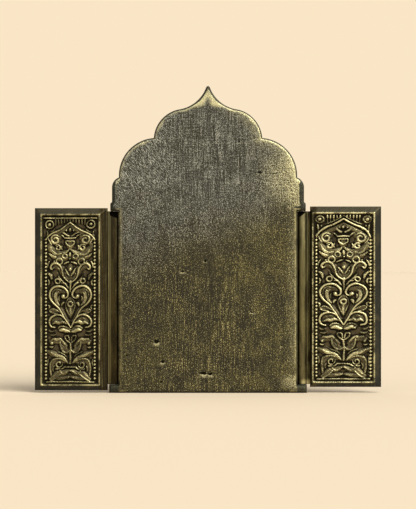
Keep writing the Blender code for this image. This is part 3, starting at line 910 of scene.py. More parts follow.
@dataclass(frozen=True)
class Pit:
    """A casting pit in the plain back, in millimetres, wider than tall by its stretch."""

    across: float
    up: float
    radius: float
    depth: float
    stretch: float
    lip: float
    raggedness: float = 0.35
    ragged_pitch: float = 0.6
    seed: int = 77

    def reach(self, x: Array, z: Array) -> Array:
        """How far points lie from its middle.

        Args:
            x: First coordinates.
            z: Second coordinates.

        Returns:
            The distances, 1 at its ragged edge.
        """
        radius = self.radius * MM
        ragged = 1 + self.raggedness * soft_noise(x, z, self.ragged_pitch * radius, self.seed)
        return np.hypot((x - self.across * MM) / self.stretch, z - self.up * MM) / (radius * ragged)


@dataclass
class CentralPlate:
    """The central panel: a thick plate with a lobed ogee top and a stepped front recess."""

    sizes: PlateSizes = PLATE
    finish: PlateFinish = PlateFinish()
    grid_pitch: float = 1.1 * MM
    waviness: float = 0.05 * MM
    waves: tuple[tuple[float, float], ...] = ((14 * MM, 0.6), (5 * MM, 0.4))
    wave_seed: int = 5
    wave_inset: float = 2.0 * MM
    outline_side: float = 1.2 * MM
    lobe_steps: int = 26
    opening_steps: int = 20
    grid_inset: float = 2.2
    edge_rows: tuple[float, ...] = (0.07, 0.5, 0.93, 1.12, 1.9)
    round_from: float = 0.93
    round_to: float = 1.12
    pit_rings: tuple[float, ...] = (0.25, 0.5, 0.75, 0.95, 1.1, 1.25, 1.4, 1.6)
    ring_points: int = 18
    # Reach of the painted shade in the pits, and the reach, spread and drop of the painted
    # highlight on their lower lips.
    hole_reach: float = 1.3
    lip_reach: float = 1.25
    lip_spread: float = 0.6
    lip_drop: float = 0.45
    pits: tuple[Pit, ...] = (
        Pit(-25.1, 25.0, 0.9, 0.25, 1.2, 0.9), Pit(-22.2, 15.2, 0.9, 0.30, 0.8, 0.8),
        Pit(-2.4, 9.6, 0.8, 0.35, 1.9, 1.0), Pit(1.1, 9.3, 0.7, 0.35, 1.4, 1.0),
        Pit(-12.3, 59.3, 0.5, 0.30, 1.4, 0.8), Pit(-1.3, 64.5, 0.7, 0.30, 0.9, 0.5),
        Pit(-22.8, 5.4, 0.6, 0.30, 1.0, 0.1), Pit(-39.6, 18.4, 0.5, 0.25, 0.8, 0.1),
        Pit(25.2, 107.6, 0.7, 0.30, 1.5, 0.2), Pit(31.7, 110.9, 0.5, 0.25, 0.8, 0.1),
        Pit(15.1, 122.7, 0.5, 0.25, 0.9, 0.1), Pit(21.4, 39.4, 0.4, 0.20, 2.2, 1.0),
        Pit(35.8, 23.0, 0.35, 0.20, 0.8, 1.0),
    )

    def outline(self) -> list[Point]:
        """The closed outline of the plate.

        Returns:
            Its corners, from the foot round to the foot.
        """
        s = self.sizes
        foot_half = s.waist_half + s.foot_overhang
        shoulder_half = s.neck_half + s.shoulder_step
        shoulder_top = s.shoulder_z + s.shoulder_height
        half = [
            (foot_half, 0.0), (foot_half, s.foot_height), (s.waist_half, s.foot_height),
            (s.waist_half, s.shoulder_z), (shoulder_half, s.shoulder_z),
            (shoulder_half, shoulder_top - s.shoulder_slope), (s.neck_half, shoulder_top),
        ]
        half += lobed_arch(s.neck_half, s.spring_z, s.height - s.spring_z, self.lobe_steps)
        return filled(mirrored(half), self.outline_side)

    def face(self, outline: list[Point], chamfer: float,
             pitch: float) -> tuple[Array, list[Any]]:
        """One face of the plate as flat points and triangles.

        Args:
            outline: Closed outline.
            chamfer: Width of the chamfer round the face.
            pitch: Distance between the points inside it.

        Returns:
            The points with their distance from the outline as third number, and the triangles.
        """
        count = len(outline)
        xs, zs = np.array(outline).T
        along_x, along_z = (np.roll(line, -1) - np.roll(line, 1) for line in (xs, zs))
        length = np.hypot(along_x, along_z)
        rows = []
        for share in self.edge_rows:
            reach = share * chamfer
            inner_x, inner_z = xs - along_z / length * reach, zs + along_x / length * reach
            kept = distance_to(outline, inner_x, inner_z) > 0.93 * reach
            rows.append(np.stack([inner_x[kept], inner_z[kept]], 1))
        grid_x, grid_z = np.meshgrid(
            np.arange(xs.min() + pitch / 2, xs.max(), pitch), np.arange(pitch / 2, zs.max(), pitch)
        )
        grid = np.stack([grid_x.ravel(), grid_z.ravel()], 1)
        rows.append(grid[distance_to(outline, grid[:, 0], grid[:, 1]) > self.grid_inset * chamfer])
        for pit in self.pits:
            for share in self.pit_rings:
                turns = np.arange(self.ring_points) * math.tau / self.ring_points + share
                ring = np.stack([np.cos(turns) * pit.stretch, np.sin(turns)], 1)
                ring = ring * (pit.radius * MM) * share
                rows.append(ring + (pit.across * MM, pit.up * MM))
        flat = [Vector(p) for p in outline] + [Vector(p) for p in np.concatenate(rows)]
        found, _, triangles, *_ = delaunay_2d_cdt(flat, [], [list(range(count))], 1, 1e-7)
        places = np.array([tuple(p) for p in found])
        depth = distance_to(outline, places[:, 0], places[:, 1])
        return np.column_stack([places, depth]), [tuple(t) for t in triangles]

    def shell(self) -> bpy.types.Object:
        """The closed plate before its front is cut.

        Returns:
            The plate.
        """
        s = self.sizes
        outline = self.outline()
        count = len(outline)
        back, back_faces = self.face(outline, s.back_chamfer, self.grid_pitch)
        front, front_faces = self.face(outline, s.front_chamfer, 4 * self.grid_pitch)
        back_y = s.back_y + self.worn_edge(back[:, 2], s.back_chamfer) + self.unevenness(back)
        front_y = s.front_y - self.worn_edge(front[:, 2], s.front_chamfer)
        points = [(x, y, z) for (x, z, _), y in zip(back, back_y)]
        points += [(x, y, z) for (x, z, _), y in zip(front, front_y)]
        first = len(back)
        faces = list(back_faces) + [tuple(k + first for k in t) for t in front_faces]
        sides = [(k, (k + 1) % count) for k in range(count)]
        faces += [(a, b, b + first, a + first) for a, b in sides]
        return Workshop.piece("central_panel_plate", points, faces)

    def worn_edge(self, depth: Array, chamfer: float) -> Array:
        """How far the surface has dropped at a distance from the outline.

        Args:
            depth: Distances from the outline.
            chamfer: Width of the chamfer.

        Returns:
            The drops, which are the chamfer's width at the outline.
        """
        start, end = self.round_from, self.round_to
        inside = np.clip(depth / chamfer, 0, end)
        rounded = (1 - start) * ((end - inside) / (end - start)) ** 2
        return chamfer * np.where(inside > start, rounded, np.clip(1 - inside, 0, 1))

    def unevenness(self, places: Array) -> Array:
        """The hand-finished surface: slow waves and the pits.

        Args:
            places: Points with their distance from the outline.

        Returns:
            How far each lies below the true face.
        """
        x, z, depth = places.T
        inside = np.clip((depth - self.sizes.back_chamfer) / self.wave_inset, 0, 1)
        waves = sum(soft_noise(x, z, pitch, self.wave_seed + index) * share
                    for index, (pitch, share) in enumerate(self.waves))
        lowered = self.waviness * waves * inside
        for pit in self.pits:
            lowered = lowered + pit.depth * MM * np.clip(1 - pit.reach(x, z) ** 2, 0, 1)
        return lowered

    def opening(self, margin: float) -> list[Point]:
        """Outline of the front field, or of its inner step.

        Args:
            margin: Distance from the step's outline.

        Returns:
            The closed outline.
        """
        s = self.sizes
        half = REBATE_HALF - s.rim_width - margin
        rise = s.height - s.spring_z - 2 * (s.rim_width + margin)
        arch = lobed_arch(half, s.spring_z - s.step_width, rise, self.opening_steps)
        return mirrored([(half, s.sill_height + margin)] + arch)

    def cut_front(self, plate: bpy.types.Object) -> None:
        """Cuts the recess, the hinge rebates and the pivot bores.

        Args:
            plate: The closed plate.
        """
        s, h = self.sizes, HINGE
        past = s.front_y + s.depth
        for margin, depth in ((s.step_width, s.recess_depth), (0.0, s.step_depth)):
            tool = Workshop.bar("tool", self.opening(margin), s.front_y - depth, past)
            tool.data.transform(Matrix(((1, 0, 0, 0), (0, 0, 1, 0), (0, 1, 0, 0), (0, 0, 0, 1))))
            Workshop.outwards(tool)
            Workshop.cut(plate, tool)
        for side in Side:
            ends = sorted((side.value * REBATE_HALF, side.value * (s.waist_half + h.stile_width)))
            floor = AXIS_Y - h.barrel_radius - h.barrel_clearance
            low, high = (ends[0], floor, s.foot_height), (ends[1], past, s.shoulder_z)
            Workshop.cut(plate, Workshop.block("tool", low, high))
            reach = h.pivot_length - h.end_clearance + h.pivot_clearance
            bore, over = h.pivot_radius + h.pivot_clearance, h.barrel_clearance
            centre = (side.value * AXIS_X, AXIS_Y)
            for start, end in ((s.foot_height - reach, s.foot_height + over),
                               (s.shoulder_z - over, s.shoulder_z + reach)):
                Workshop.cut(plate, Workshop.rod("tool", centre, bore, start, end))

    def mark(self, plate: bpy.types.Object) -> None:
        """Marks the distance from the outline, the pits for their painted shade, and the painted
        highlight on their lower lips.

        Args:
            plate: The finished plate.
        """
        x, y, z = Workshop.corners(plate).T
        Workshop.mark(plate, "edge", distance_to(self.outline(), x, z) / MM)
        sunk, lip = np.zeros(len(x)), np.zeros(len(x))
        for pit in self.pits:
            reach = pit.reach(x, z)
            sunk = np.maximum(sunk, np.where(y < 0, np.clip(self.hole_reach - reach, 0, 1), 0))
            below = (z < (pit.up - self.lip_drop * pit.radius) * MM) & (y < 0)
            bright = np.clip(1 - np.abs(reach - self.lip_reach) / self.lip_spread, 0, 1) * pit.lip
            lip = np.maximum(lip, np.where(below, bright, 0))
        Workshop.mark(plate, "pit", sunk)
        Workshop.mark(plate, "lip", lip)

    def build(self) -> bpy.types.Object:
        """Builds and dresses the plate.

        Returns:
            The finished piece.
        """
        plate = self.shell()
        self.cut_front(plate)
        Workshop.smooth(plate)
        self.mark(plate)
        plate.data.materials.clear()
        plate.data.materials.append(self.finish.material())
        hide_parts(Body.PLATE.value)
        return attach(plate, Body.PLATE.value)


# ---------------------------------------------------------------- carving


class Form(Enum):
    """The forms of the carver's strokes."""

    RIDGE = "ridge"
    LEAF = "leaf"
    STEM = "stem"
    BODY = "body"
    BOSS = "boss"
    RING = "ring"
    CURL = "curl"


@dataclass(frozen=True)
class Flutes:
    """A row of upright flutes in the canopy, in millimetres, whose feet sink by the slant."""

    first: int
    top: float
    foot: float
    slant: float
    rise: float
    width: float


# Each line is a stroke: lone, or a pair with its mirror image; its form; the form's sizes, which
# are half widths (a ridge has three of them, from start to end), for a boss its half width and
# half height, for a ring its radius and half width, and for a curl its radius, starting angle,
# turns and half width; its rise as a share of the relief; and the points of its middle line,
# across and up. All lengths are in millimetres from the foot of the carving's middle line.
CANOPY = """
lone stem 0.42 1 -12.8,84.2 12.8,84.2
pair ring 1.9,0.4 0.9 10,81.1
pair boss 0.85,0.85 1 10,81.1
pair stem 0.45 1 0,82 2.6,80.1 5.2,78.3 8.4,76.8 10.5,75.3 12,73.5
pair leaf 0.5 0.9 0,75.4 1,75.6 2.8,76.7 5.2,77.6
lone boss 0.7,1.1 1 0,78.5
pair boss 0.5,0.4 1 1.8,78.2
"""
HIGH_CANOPY = """
pair ring 1.65,0.38 0.7 10.4,82.6
pair boss 0.95,0.95 1 10.4,82.6
pair stem 0.5 1.05 0,82.9 2.6,81.2 5.6,79.7 8.4,78.4 10.6,76.4 11.7,74.4
pair stem 0.3 0.75 0,84.5 2.8,82.6 5.8,81.1 8,80.1
pair leaf 0.6 0.9 0.2,76.3 1.9,77 3.9,78.8
lone boss 0.75,0.9 1 0,79
pair boss 0.4,0.4 1 1.7,78.7
pair leaf 0.5 0.9 11.5,80.4 11.2,78.6 10.9,77.2
pair boss 0.4,0.45 0.9 9.9,79.3
"""
TIERS = """
# the urn, its side scrolls and the leaves under it
lone stem 0.5 1 -2.5,74.4 2.5,74.4
pair stem 0.42 1 0,72.9 2,72.9 1.8,71.4 0,70.3
pair curl 2.4,130,-1.25,0.75 0.9 7.4,73.5
pair curl 1.6,50,1.1,0.6 0.9 6.1,69.6
pair leaf 0.6 0.9 0.2,69.4 1.9,67.6 4.4,67.2
pair leaf 0.8 0.9 3.4,67 6.8,66.3 9,68 10.6,71.6
pair leaf 0.7 0.9 6.4,65 8.8,65.4 11,67.2
pair ring 1.15,0.42 0.9 2.6,65.6
lone boss 0.7,1.3 1.1 0,66.6
pair ring 1.45,0.45 0.9 5.3,63
pair leaf 0.5 0.9 0,62.9 1.9,62.5 3.9,61.3
# the open tulip above the great scrolls
pair ridge 0.35,0.58,0.3 1 0,52.7 2,54 3.5,56.2 4.1,59.2 5.6,61.4 7.9,61.9 9.5,60.4 9.1,59 8.2,59.6
pair leaf 0.55 0.9 0,55.4 1.5,57.6 3,60.4
pair leaf 0.7 0.9 11.4,57.4 9.3,55.8 9,53.2
pair ring 1.15,0.42 0.9 6.1,53.4
pair leaf 0.5 0.9 0.3,48.9 2.6,52.2 5,52.6
lone boss 0.9,1.2 1 0,59.2
# the two great scrolls with their eyes, and the stem between them
pair ridge 0.35,0.6,0.32 1.1 0.2,30.8 3.2,36.2 5.6,40.1 8.3,42.6 10,45.3 9.9,48.3 \
8.1,50.3 5.4,51 2.7,50 1.1,47.7 1.4,45.7 2.9,45.1
pair boss 1.05,1.1 1.15 3.5,46
pair leaf 0.95 0.9 4.9,41 6.6,42.9 7.3,45.2 6.9,47.2 5.4,48.2
pair leaf 0.5 0.7 5.4,43.4 5.9,45 5.3,46.4
pair stem 0.35 0.7 9,46 8.6,48.3 6.6,49.6 4.6,49
lone ridge 0.8,0.5,0.25 0.9 0,53.2 0,47.6
lone ring 1.2,0.5 0.9 0,42.2
lone leaf 0.7 0.9 0,41.2 0,38.6 0,34.6
pair stem 0.35 0.7 0.9,44.9 2,43 2.2,40.6 0.6,36.6
pair leaf 0.6 0.9 4.6,40.9 3.9,42.6 2.6,43.2
pair stem 0.4 0.8 4,37.5 6.4,38.9 8.6,39.9 10.2,39.2 9.2,38 6.6,37.4
# the drooping leaves under the scrolls, and the knots on the stem
pair ridge 0.3,0.55,0.4 1.1 0.4,31.5 2.1,34.5 4.2,36.4 6.8,36.9 9.2,35.9 10.4,33.6 9.6,31.2 7.6,30.6
pair ridge 0.4,0.95,0.4 0.85 1.8,32.9 4.2,33.6 5.6,32.9 7.2,33.4 8.8,32.4
pair ridge 0.3,1,0.5 1 0.3,28.7 2,29.2 3.6,29.8 5.1,29.3
pair ridge 0.2,0.5,0.3 0.8 0.6,30.3 2.6,31.3 4.8,31.2 5.9,30.2
pair stem 0.38 0.8 0.2,23.4 2.1,24.8 2.6,26.7 0.9,26.6 0.4,24.4
# the spreading foot leaves, the foot scrolls and the lower border
pair leaf 0.7 0.9 1.7,21.2 3.8,24 5.3,25 6.8,24.6 8.6,25 10.4,23.6
pair boss 0.8,0.8 1 9.2,22.9
pair stem 0.45 0.8 5.2,23.6 4.9,21.2 3.9,19.4 2.1,18.5 0.3,19.6
pair leaf 0.45 0.6 1.3,19.6 2.4,21 2.5,22.6
lone stem 0.5 0.8 0,23.2 0,13.2
pair leaf 0.85 1 0.9,12.8 2.3,14.9 4.5,16.6 7.3,17.1 9.3,18.4 11.3,18.9
pair leaf 0.4 0.7 1.3,15.6 2.9,17.6 5.4,18.7 7.6,19.8
pair stem 0.5 0.8 2.4,14.2 4.5,15.3 6.9,15.5 8.8,14.7 9.7,12.8 9.7,9.8 9.3,7.2
pair curl 1.8,160,1.15,0.45 0.9 5.6,12.7
pair leaf 0.5 0.9 7.4,10.7 6.2,10.4 4.4,10.8
lone stem 0.42 0.8 -2.5,11.4 2.5,11.4
pair stem 0.45 0.8 0,9.7 1.4,9.2 2.8,8.2 4.2,8.4 5,9.6
pair stem 0.4 0.8 4.8,7.8 6.7,6.1 9.3,4.6
pair stem 0.35 0.7 6.1,8.8 7.7,7.2 9.9,5.6
pair leaf 0.5 0.7 0,6.3 2.4,5.9 4.8,6
lone stem 0.4 0.9 -11.6,4.1 11.6,4.1
# the broad leaf bodies that the lines lie on
pair body 0.9 0.45 0,80.6 3.2,78.4 7,76.3 11,73.6
lone body 1.7 0.5 0,74.2 0,72 0,69.6
pair body 1.9 0.4 5.2,75 7.4,73.6 6.2,71
pair body 1.5 0.5 1.4,68.2 5,66.6 9.2,68.6 10.4,70.9
pair body 1.6 0.45 0.4,66 3.8,64.4 8,64.9
pair body 1.4 0.4 0.5,53.4 3,56.2 4.5,59.6 6.6,60.7 8.4,60
lone body 1.4 0.35 0,53 0.4,57.4 0,61
pair body 1.5 0.34 1.2,33.6 4.4,38.6 7.2,42 8.2,45.4 7,48 5,48.8 3,48.2
lone body 1.6 0.4 0,36 0,40.6 0,44.6
pair body 1.7 0.36 1.4,32.4 4.4,34.9 7.4,35 8.9,33
pair body 1 0.45 4.2,38.2 7,39 9.4,38.8
pair body 1 0.5 0.4,29.6 2.6,30 5.2,29.6
pair body 1 0.42 1.9,21.6 4,23.6 6.6,23.8 9.9,23.8
pair body 1.1 0.4 0.2,19 2.6,19.4 4.6,22
pair body 1.3 0.45 1.2,13.4 4.2,16 7.6,17.4 11,18.7
pair body 1.1 0.38 3,13.6 6.8,14.6 9.2,12.6 9.4,8.6
pair body 1.3 0.45 0.4,9.8 3.4,8.4 6,8.2 9.4,5.4
pair body 0.9 0.4 0.4,6.4 4,5.8 7,5.6
# the small leaves, tips and veins between the larger forms
pair leaf 0.5 0.9 10.9,54.4 10.2,52.6 11,50.6
pair leaf 0.5 0.9 9.8,63.4 11,61.4 10.9,59.2
pair leaf 0.45 0.9 11.2,42 10.2,40.9 11.3,39
pair leaf 0.45 0.6 10.9,29.6 9.6,28.6 7.2,28.8
pair leaf 0.5 0.6 6.8,27.4 8.6,26.6 10.8,27.2
pair leaf 0.5 0.9 10.7,21.4 9.4,20.9 8.2,21.4
pair leaf 0.45 0.7 11,15.8 10.9,13.4 11.2,10.8
pair leaf 0.5 0.7 7.6,12.4 8.4,10.4 7.8,8.6
pair leaf 0.45 0.9 2.6,11.9 3.6,10.6 5.2,10.2
pair leaf 0.5 0.9 8.8,70.6 10.2,72.4 11.2,74.8
pair leaf 0.5 0.9 3.6,71.2 4.4,69.6 3.4,68.4
pair leaf 0.4 0.9 2.6,74.2 3.8,75.8 5.6,76.2
pair leaf 0.45 0.7 7.4,79.2 8.4,77.8 10.4,77
pair leaf 0.4 0.7 11.4,78.4 11,76.4 11.8,74.8
pair ridge 0.1,0.25,0.1 0.95 3.4,36.4 6,39.9 8.6,43.4 9.3,46.9
pair ridge 0.1,0.3,0.1 0.8 5,57 5.6,59.4 7,60.3
pair ridge 0.15,0.35,0.1 0.8 1.2,51.6 3.4,53 5.2,54.9 6.6,57.4
pair ridge 0.1,0.3,0.1 0.85 6.2,49 7.7,47.2 7.8,44.4
pair ridge 0.1,0.25,0.1 0.9 3,33.9 5.2,35.2 7.4,34.9 8.6,33.8
pair boss 0.45,0.45 1 1.5,65
pair boss 0.5,0.5 0.8 7.9,62.8
lone boss 0.5,0.6 1 0,64.6
pair boss 0.4,0.7 0.7 2.4,57
"""
FLUTES = (Flutes(0, 83.6, 82.9, 0.35, 0.6, 0.42),)
HIGH_FLUTES = (Flutes(1, 85.1, 83.5, 0.0, 0.95, 0.42), Flutes(3, 83.2, 83.4, 0.55, 0.6, 0.3))


@dataclass(frozen=True)
class Stroke:
    """One raised ridge of the carving: its middle line, half widths, rise and vein."""

    line: list[Vector]
    widths: list[float]
    rise: float
    vein: float = 0.0


@dataclass
class Ornament:
    """The candelabra ornament of a wing: a canopy, and the tiers under it."""

    canopy: str = CANOPY
    flutes: tuple[Flutes, ...] = FLUTES
    flute_count: int = 6
    flute_pitch: float = 1.42
    bend: float = math.radians(11)
    least_width: float = 0.05
    leaf_start: float = 0.12
    leaf_vein: float = 0.22
    veined_width: float = 0.55
    body_vein: float = 0.12
    body_widths: tuple[float, float, float] = (0.45, 1.2, 0.6)
    body_lift: float = 1.3
    curl_winding: float = 0.66
    curl_thinning: float = 0.45
    boss_least: float = 0.15
    boss_ends: float = 0.8
    strokes: list[Stroke] = field(default_factory=list)

    def through(self, points: Sequence[Point]) -> list[Vector]:
        """A smooth line through a few points.

        Args:
            points: The points.

        Returns:
            The line, with a new point wherever it has turned by the bend.
        """
        known = [Vector(p) for p in points]
        ends = [2 * known[0] - known[1]] + known + [2 * known[-1] - known[-2]]
        found = [known[0]]
        for before, start, end, after in zip(ends, ends[1:], ends[2:], ends[3:]):
            turn = (end - before).angle(after - start)
            steps = max(2, round(turn / self.bend))
            for step in range(1, steps + 1):
                t = step / steps
                curve = 2 * before - 5 * start + 4 * end - after
                swing = 3 * start - before - 3 * end + after
                found.append(start + 0.5 * ((end - before) * t + curve * t * t + swing * t**3))
        return found

    def keep(self, line: list[Vector], widths: list[float], rise: float, both: bool,
             vein: float = 0.0) -> None:
        """Keeps a stroke, and its mirror image where both is set.

        Args:
            line: Middle line.
            widths: Half width at each point.
            rise: Height of the ridge as a share of the relief.
            both: Whether its mirror image is kept too.
            vein: Depth of the groove along its middle.
        """
        self.strokes.append(Stroke(line, widths, rise, vein))
        if both:
            self.strokes.append(Stroke([Vector((-p.x, p.y)) for p in line], widths, rise, vein))

    def ridge(self, points: Sequence[Point], rise: float, both: bool, first: float,
              middle: float, last: float, vein: float = 0.0) -> None:
        """A curved ridge.

        Args:
            points: Points that its middle line passes.
            rise: Height as a share of the relief.
            both: Whether its mirror image is made too.
            first: Half width at its start.
            middle: Half width at its middle.
            last: Half width at its end.
            vein: Depth of the groove along its middle.
        """
        line = self.through(points)
        widths = []
        for index in range(len(line)):
            t = index / (len(line) - 1)
            belly = 2 * t * (1 - t) * (2 * middle - (first + last) / 2)
            widths.append(max(self.least_width, (1 - t) ** 2 * first + belly + t * t * last))
        self.keep(line, widths, rise, both, vein)

    def leaf(self, points: Sequence[Point], rise: float, both: bool, width: float) -> None:
        """A pointed leaf, which has a vein where it is wide."""
        vein = self.leaf_vein if width > self.veined_width else 0.0
        self.ridge(points, rise, both, self.leaf_start, width, 0.0, vein)

    def stem(self, points: Sequence[Point], rise: float, both: bool, width: float) -> None:
        """A stem of one width."""
        self.ridge(points, rise, both, width, width, width)

    def body(self, points: Sequence[Point], rise: float, both: bool, width: float) -> None:
        """The broad, low body of a leaf under its finer lines."""
        widths = (share * width for share in self.body_widths)
        self.ridge(points, self.body_lift * rise, both, *widths, self.body_vein)

    def curl(self, points: Sequence[Point], rise: float, both: bool, radius: float,
             start: float, turns: float, width: float) -> None:
        """A scroll that winds in to a third of its radius.

        Args:
            points: Its centre alone.
            rise: Height as a share of the relief.
            both: Whether its mirror image is made too.
            radius: Its outer radius.
            start: Angle at which it starts, in degrees.
            turns: Turns that it makes.
            width: Half width at its fullest.
        """
        (x, y), steps = points[0], round(abs(turns) * math.tau / self.bend)
        line, widths = [], []
        for step in range(steps + 1):
            t = step / steps
            angle = math.radians(start) + turns * math.tau * t
            reach = radius * (1 - self.curl_winding * t)
            line.append(Vector((x + reach * math.cos(angle), y + reach * math.sin(angle))))
            swell = 1 - self.curl_thinning + self.curl_thinning * math.sin(math.pi * t)
            widths.append(width * swell)
        self.keep(line, widths, rise, both)

    def ring(self, points: Sequence[Point], rise: float, both: bool, radius: float,
             width: float) -> None:
        """A round band, closed on itself.

        Args:
            points: Its centre alone.
            rise: Height as a share of the relief.
            both: Whether its mirror image is made too.
            radius: Radius of its middle line.
            width: Half width of the band.
        """
        (x, y), sides = points[0], round(math.tau / self.bend)
        turns = [math.tau * side / sides for side in range(sides + 1)]
        line = [Vector((x + radius * math.cos(t), y + radius * math.sin(t))) for t in turns]
        self.keep(line, [width] * len(line), rise, both)

    def boss(self, points: Sequence[Point], rise: float, both: bool, width: float,
             tall: float) -> None:
        """A rounded knob.

        Args:
            points: Its centre alone.
            rise: Height as a share of the relief.
            both: Whether its mirror image is made too.
            width: Half width.
            tall: Half height.
        """
        middle, half = Vector(points[0]), Vector((0.0, max(tall - width, self.boss_least)))
        line, end = [middle - half, middle, middle + half], self.boss_ends * width
        self.keep(line, [end, width, end], rise, both)

    def draw(self) -> list[Stroke]:
        """Draws the flutes and the canopy, and the tiers under them.

        Returns:
            All strokes of the carving.
        """
        for row in self.flutes:
            for index in range(row.first, self.flute_count):
                x, foot = index * self.flute_pitch, row.foot - row.slant * index
                self.stem([(x, row.top), (x, foot)], row.rise, index > 0, row.width)
        forms = {Form.RIDGE: self.ridge, Form.LEAF: self.leaf, Form.STEM: self.stem,
                 Form.BODY: self.body, Form.BOSS: self.boss, Form.RING: self.ring,
                 Form.CURL: self.curl}
        for entry in (self.canopy + TIERS).splitlines():
            if entry and not entry.startswith("#"):
                share, form, sizes, rise, *places = entry.split()
                points = [tuple(map(float, place.split(","))) for place in places]
                draw = forms[Form(form)]
                draw(points, float(rise), share == "pair", *map(float, sizes.split(",")))
        return self.strokes


@dataclass
class CarvedFace:
    """The carved face of a wing as heights over its inner face, on a fine grid."""

    cut: WingCut
    sizes: WingSizes = WING
    bead_start: float = 2.0
    bead_end: float = 0.83
    bead_stretch: float = 1.7
    chevron_bead: float = 0.85
    strip_rise: float = 0.18 * MM
    strip_reach: float = 1.4
    chevron_rise: float = 0.75 * MM
    chevron_reach: float = 1.9
    chevron_slant: float = 0.9
    chevron_shift: float = 0.35
    chevron_sharpness: float = 3.0
    shake: tuple[tuple[float, float], ...] = ((2.6, 0.16), (9.0, 0.22))
    roughness: tuple[tuple[float, float], ...] = ((0.9 * MM, 0.05), (3.0 * MM, 0.06))
    soft_width: float = 0.28
    soft_share: float = 0.36
    vein_share: float = 0.3
    thin_width: float = 0.4
    roundness: float = 0.8
    margin: float = 0.5
    field_fade: float = 0.3 * MM
    edge_fade: float = 0.8 * MM
    frame_blur: float = 0.25 * MM
    full_rise: float = 0.85
    crest_fade: float = 0.1 * MM
    crest_pitch: float = 3.0 * MM
    hollow_blur: float = 0.6 * MM
    hollow_start: float = 0.02 * MM
    hollow_depth: float = 0.25 * MM
    bevel_fade: float = 0.35 * MM

    def __post_init__(self) -> None:
        """Lays out the grid, the ridge and the border columns."""
        c, s = self.cut, self.sizes
        self.face = (PANEL_X - c.inner_lap, c.bottom, WING_REACH, c.bottom + c.height)
        self.ridge = (PANEL_X + c.bevel_inner, self.face[1] + c.bevel_bottom,
                      self.face[2] - c.bevel_outer, self.face[3] - c.bevel_top)
        across = math.ceil((self.face[2] - self.face[0]) / s.grid_pitch) + 1
        up = math.ceil(c.height / s.grid_pitch) + 1
        self.x, self.z = np.meshgrid(np.linspace(self.face[0], self.face[2], across),
                                     np.linspace(self.face[1], self.face[3], up))
        self.columns = (self.ridge[0] + c.bead_inset, self.ridge[2] - c.bead_inset)
        self.bead_low = self.ridge[1] + self.bead_start * s.bead_pitch
        self.bead_high = c.bottom + self.bead_end * c.height
        self.middle = sum(self.columns) / 2
        self.across_scale = (self.columns[1] - self.columns[0]) / 2 / s.drawn_half
        self.up_scale = c.height / s.drawn_height
        self.ground_level = s.thickness - s.ground_depth

    def inside(self, limits: Sequence[float]) -> Array:
        """Distance of each grid point inside a rectangle, negative outside it."""
        across = np.minimum(self.x - limits[0], limits[2] - self.x)
        return np.minimum(across, np.minimum(self.z - limits[1], limits[3] - self.z))

    def frame_level(self) -> Array:
        """Heights of the bevels, the crest of the ridge and the sunk ground.

        Returns:
            The heights on the grid, in metres.
        """
        s = self.sizes
        x0, z0, x1, z1 = self.ridge
        f0, g0, f1, g1 = self.face
        shares = [(self.x - f0) / (x0 - f0), (f1 - self.x) / (f1 - x1),
                  (self.z - g0) / (z0 - g0), (g1 - self.z) / (g1 - z1)]
        slope = np.clip(np.minimum.reduce(shares), 0, 1)
        bevel = s.edge_thickness + (s.thickness - s.edge_thickness) * slope
        sunk = np.clip((self.inside(self.ridge) - s.crest_width) / s.crest_slope, 0, 1)
        return bevel - s.ground_depth * sunk * sunk * (3 - 2 * sunk)

    def relief(self, strokes: list[Stroke]) -> Array:
        """Height of the carving over the ground, as shares of the relief.

        Args:
            strokes: The drawn strokes.

        Returns:
            The heights on the grid.
        """
        u = (self.x - self.middle) / self.across_scale
        v = (self.z - self.cut.bottom) / self.up_scale
        seed = 60 + self.cut.side.value
        shaken = []
        for ruler, first in ((u, seed), (v, seed + 10)):
            for index, (pitch, share) in enumerate(self.shake):
                ruler = ruler + soft_noise(u, v, pitch, first + 5 * index) * share
            shaken.append(ruler)
        found = np.zeros_like(u)
        for stroke in strokes:
            for index in range(len(stroke.line) - 1):
                self.lay(found, (u[0], v[:, 0]), tuple(shaken), stroke, index)
        return found

    def lay(self, found: Array, rulers: tuple[Array, Array], places: tuple[Array, Array],
            stroke: Stroke, index: int) -> None:
        """Lays one step of a stroke on the relief.

        Args:
            found: The relief, which is changed.
            rulers: Drawn places of the grid's columns and rows.
            places: Drawn place across and up of each grid point, as the hand carved it.
            stroke: The stroke.
            index: Number of the step.
        """
        a, b = stroke.line[index], stroke.line[index + 1]
        wa, wb = (width + min(self.soft_width, self.soft_share * width)
                  for width in stroke.widths[index:index + 2])
        reach = max(wa, wb) + self.margin
        ranges = ((min(p, q) - reach, max(p, q) + reach) for p, q in zip(a, b))
        columns, rows = (np.searchsorted(*pair) for pair in zip(rulers, ranges))
        part = (slice(*rows), slice(*columns))
        x, y = places[0][part], places[1][part]
        step = b - a
        if not x.size or step.length < 1e-6:
            return
        share = np.clip(((x - a.x) * step.x + (y - a.y) * step.y) / step.length_squared, 0, 1)
        away = np.hypot(x - a.x - share * step.x, y - a.y - share * step.y)
        width = wa + (wb - wa) * share
        place = np.clip(away / width, 0, 1)
        height = stroke.rise * (1 - place**2) ** self.roundness
        height = height - stroke.vein * np.clip(1 - place / self.vein_share, 0, 1)
        thin = np.clip(width / self.thin_width, 0.0, 1.0)
        found[part] = np.maximum(found[part], np.where(away < width, height * thin, 0))

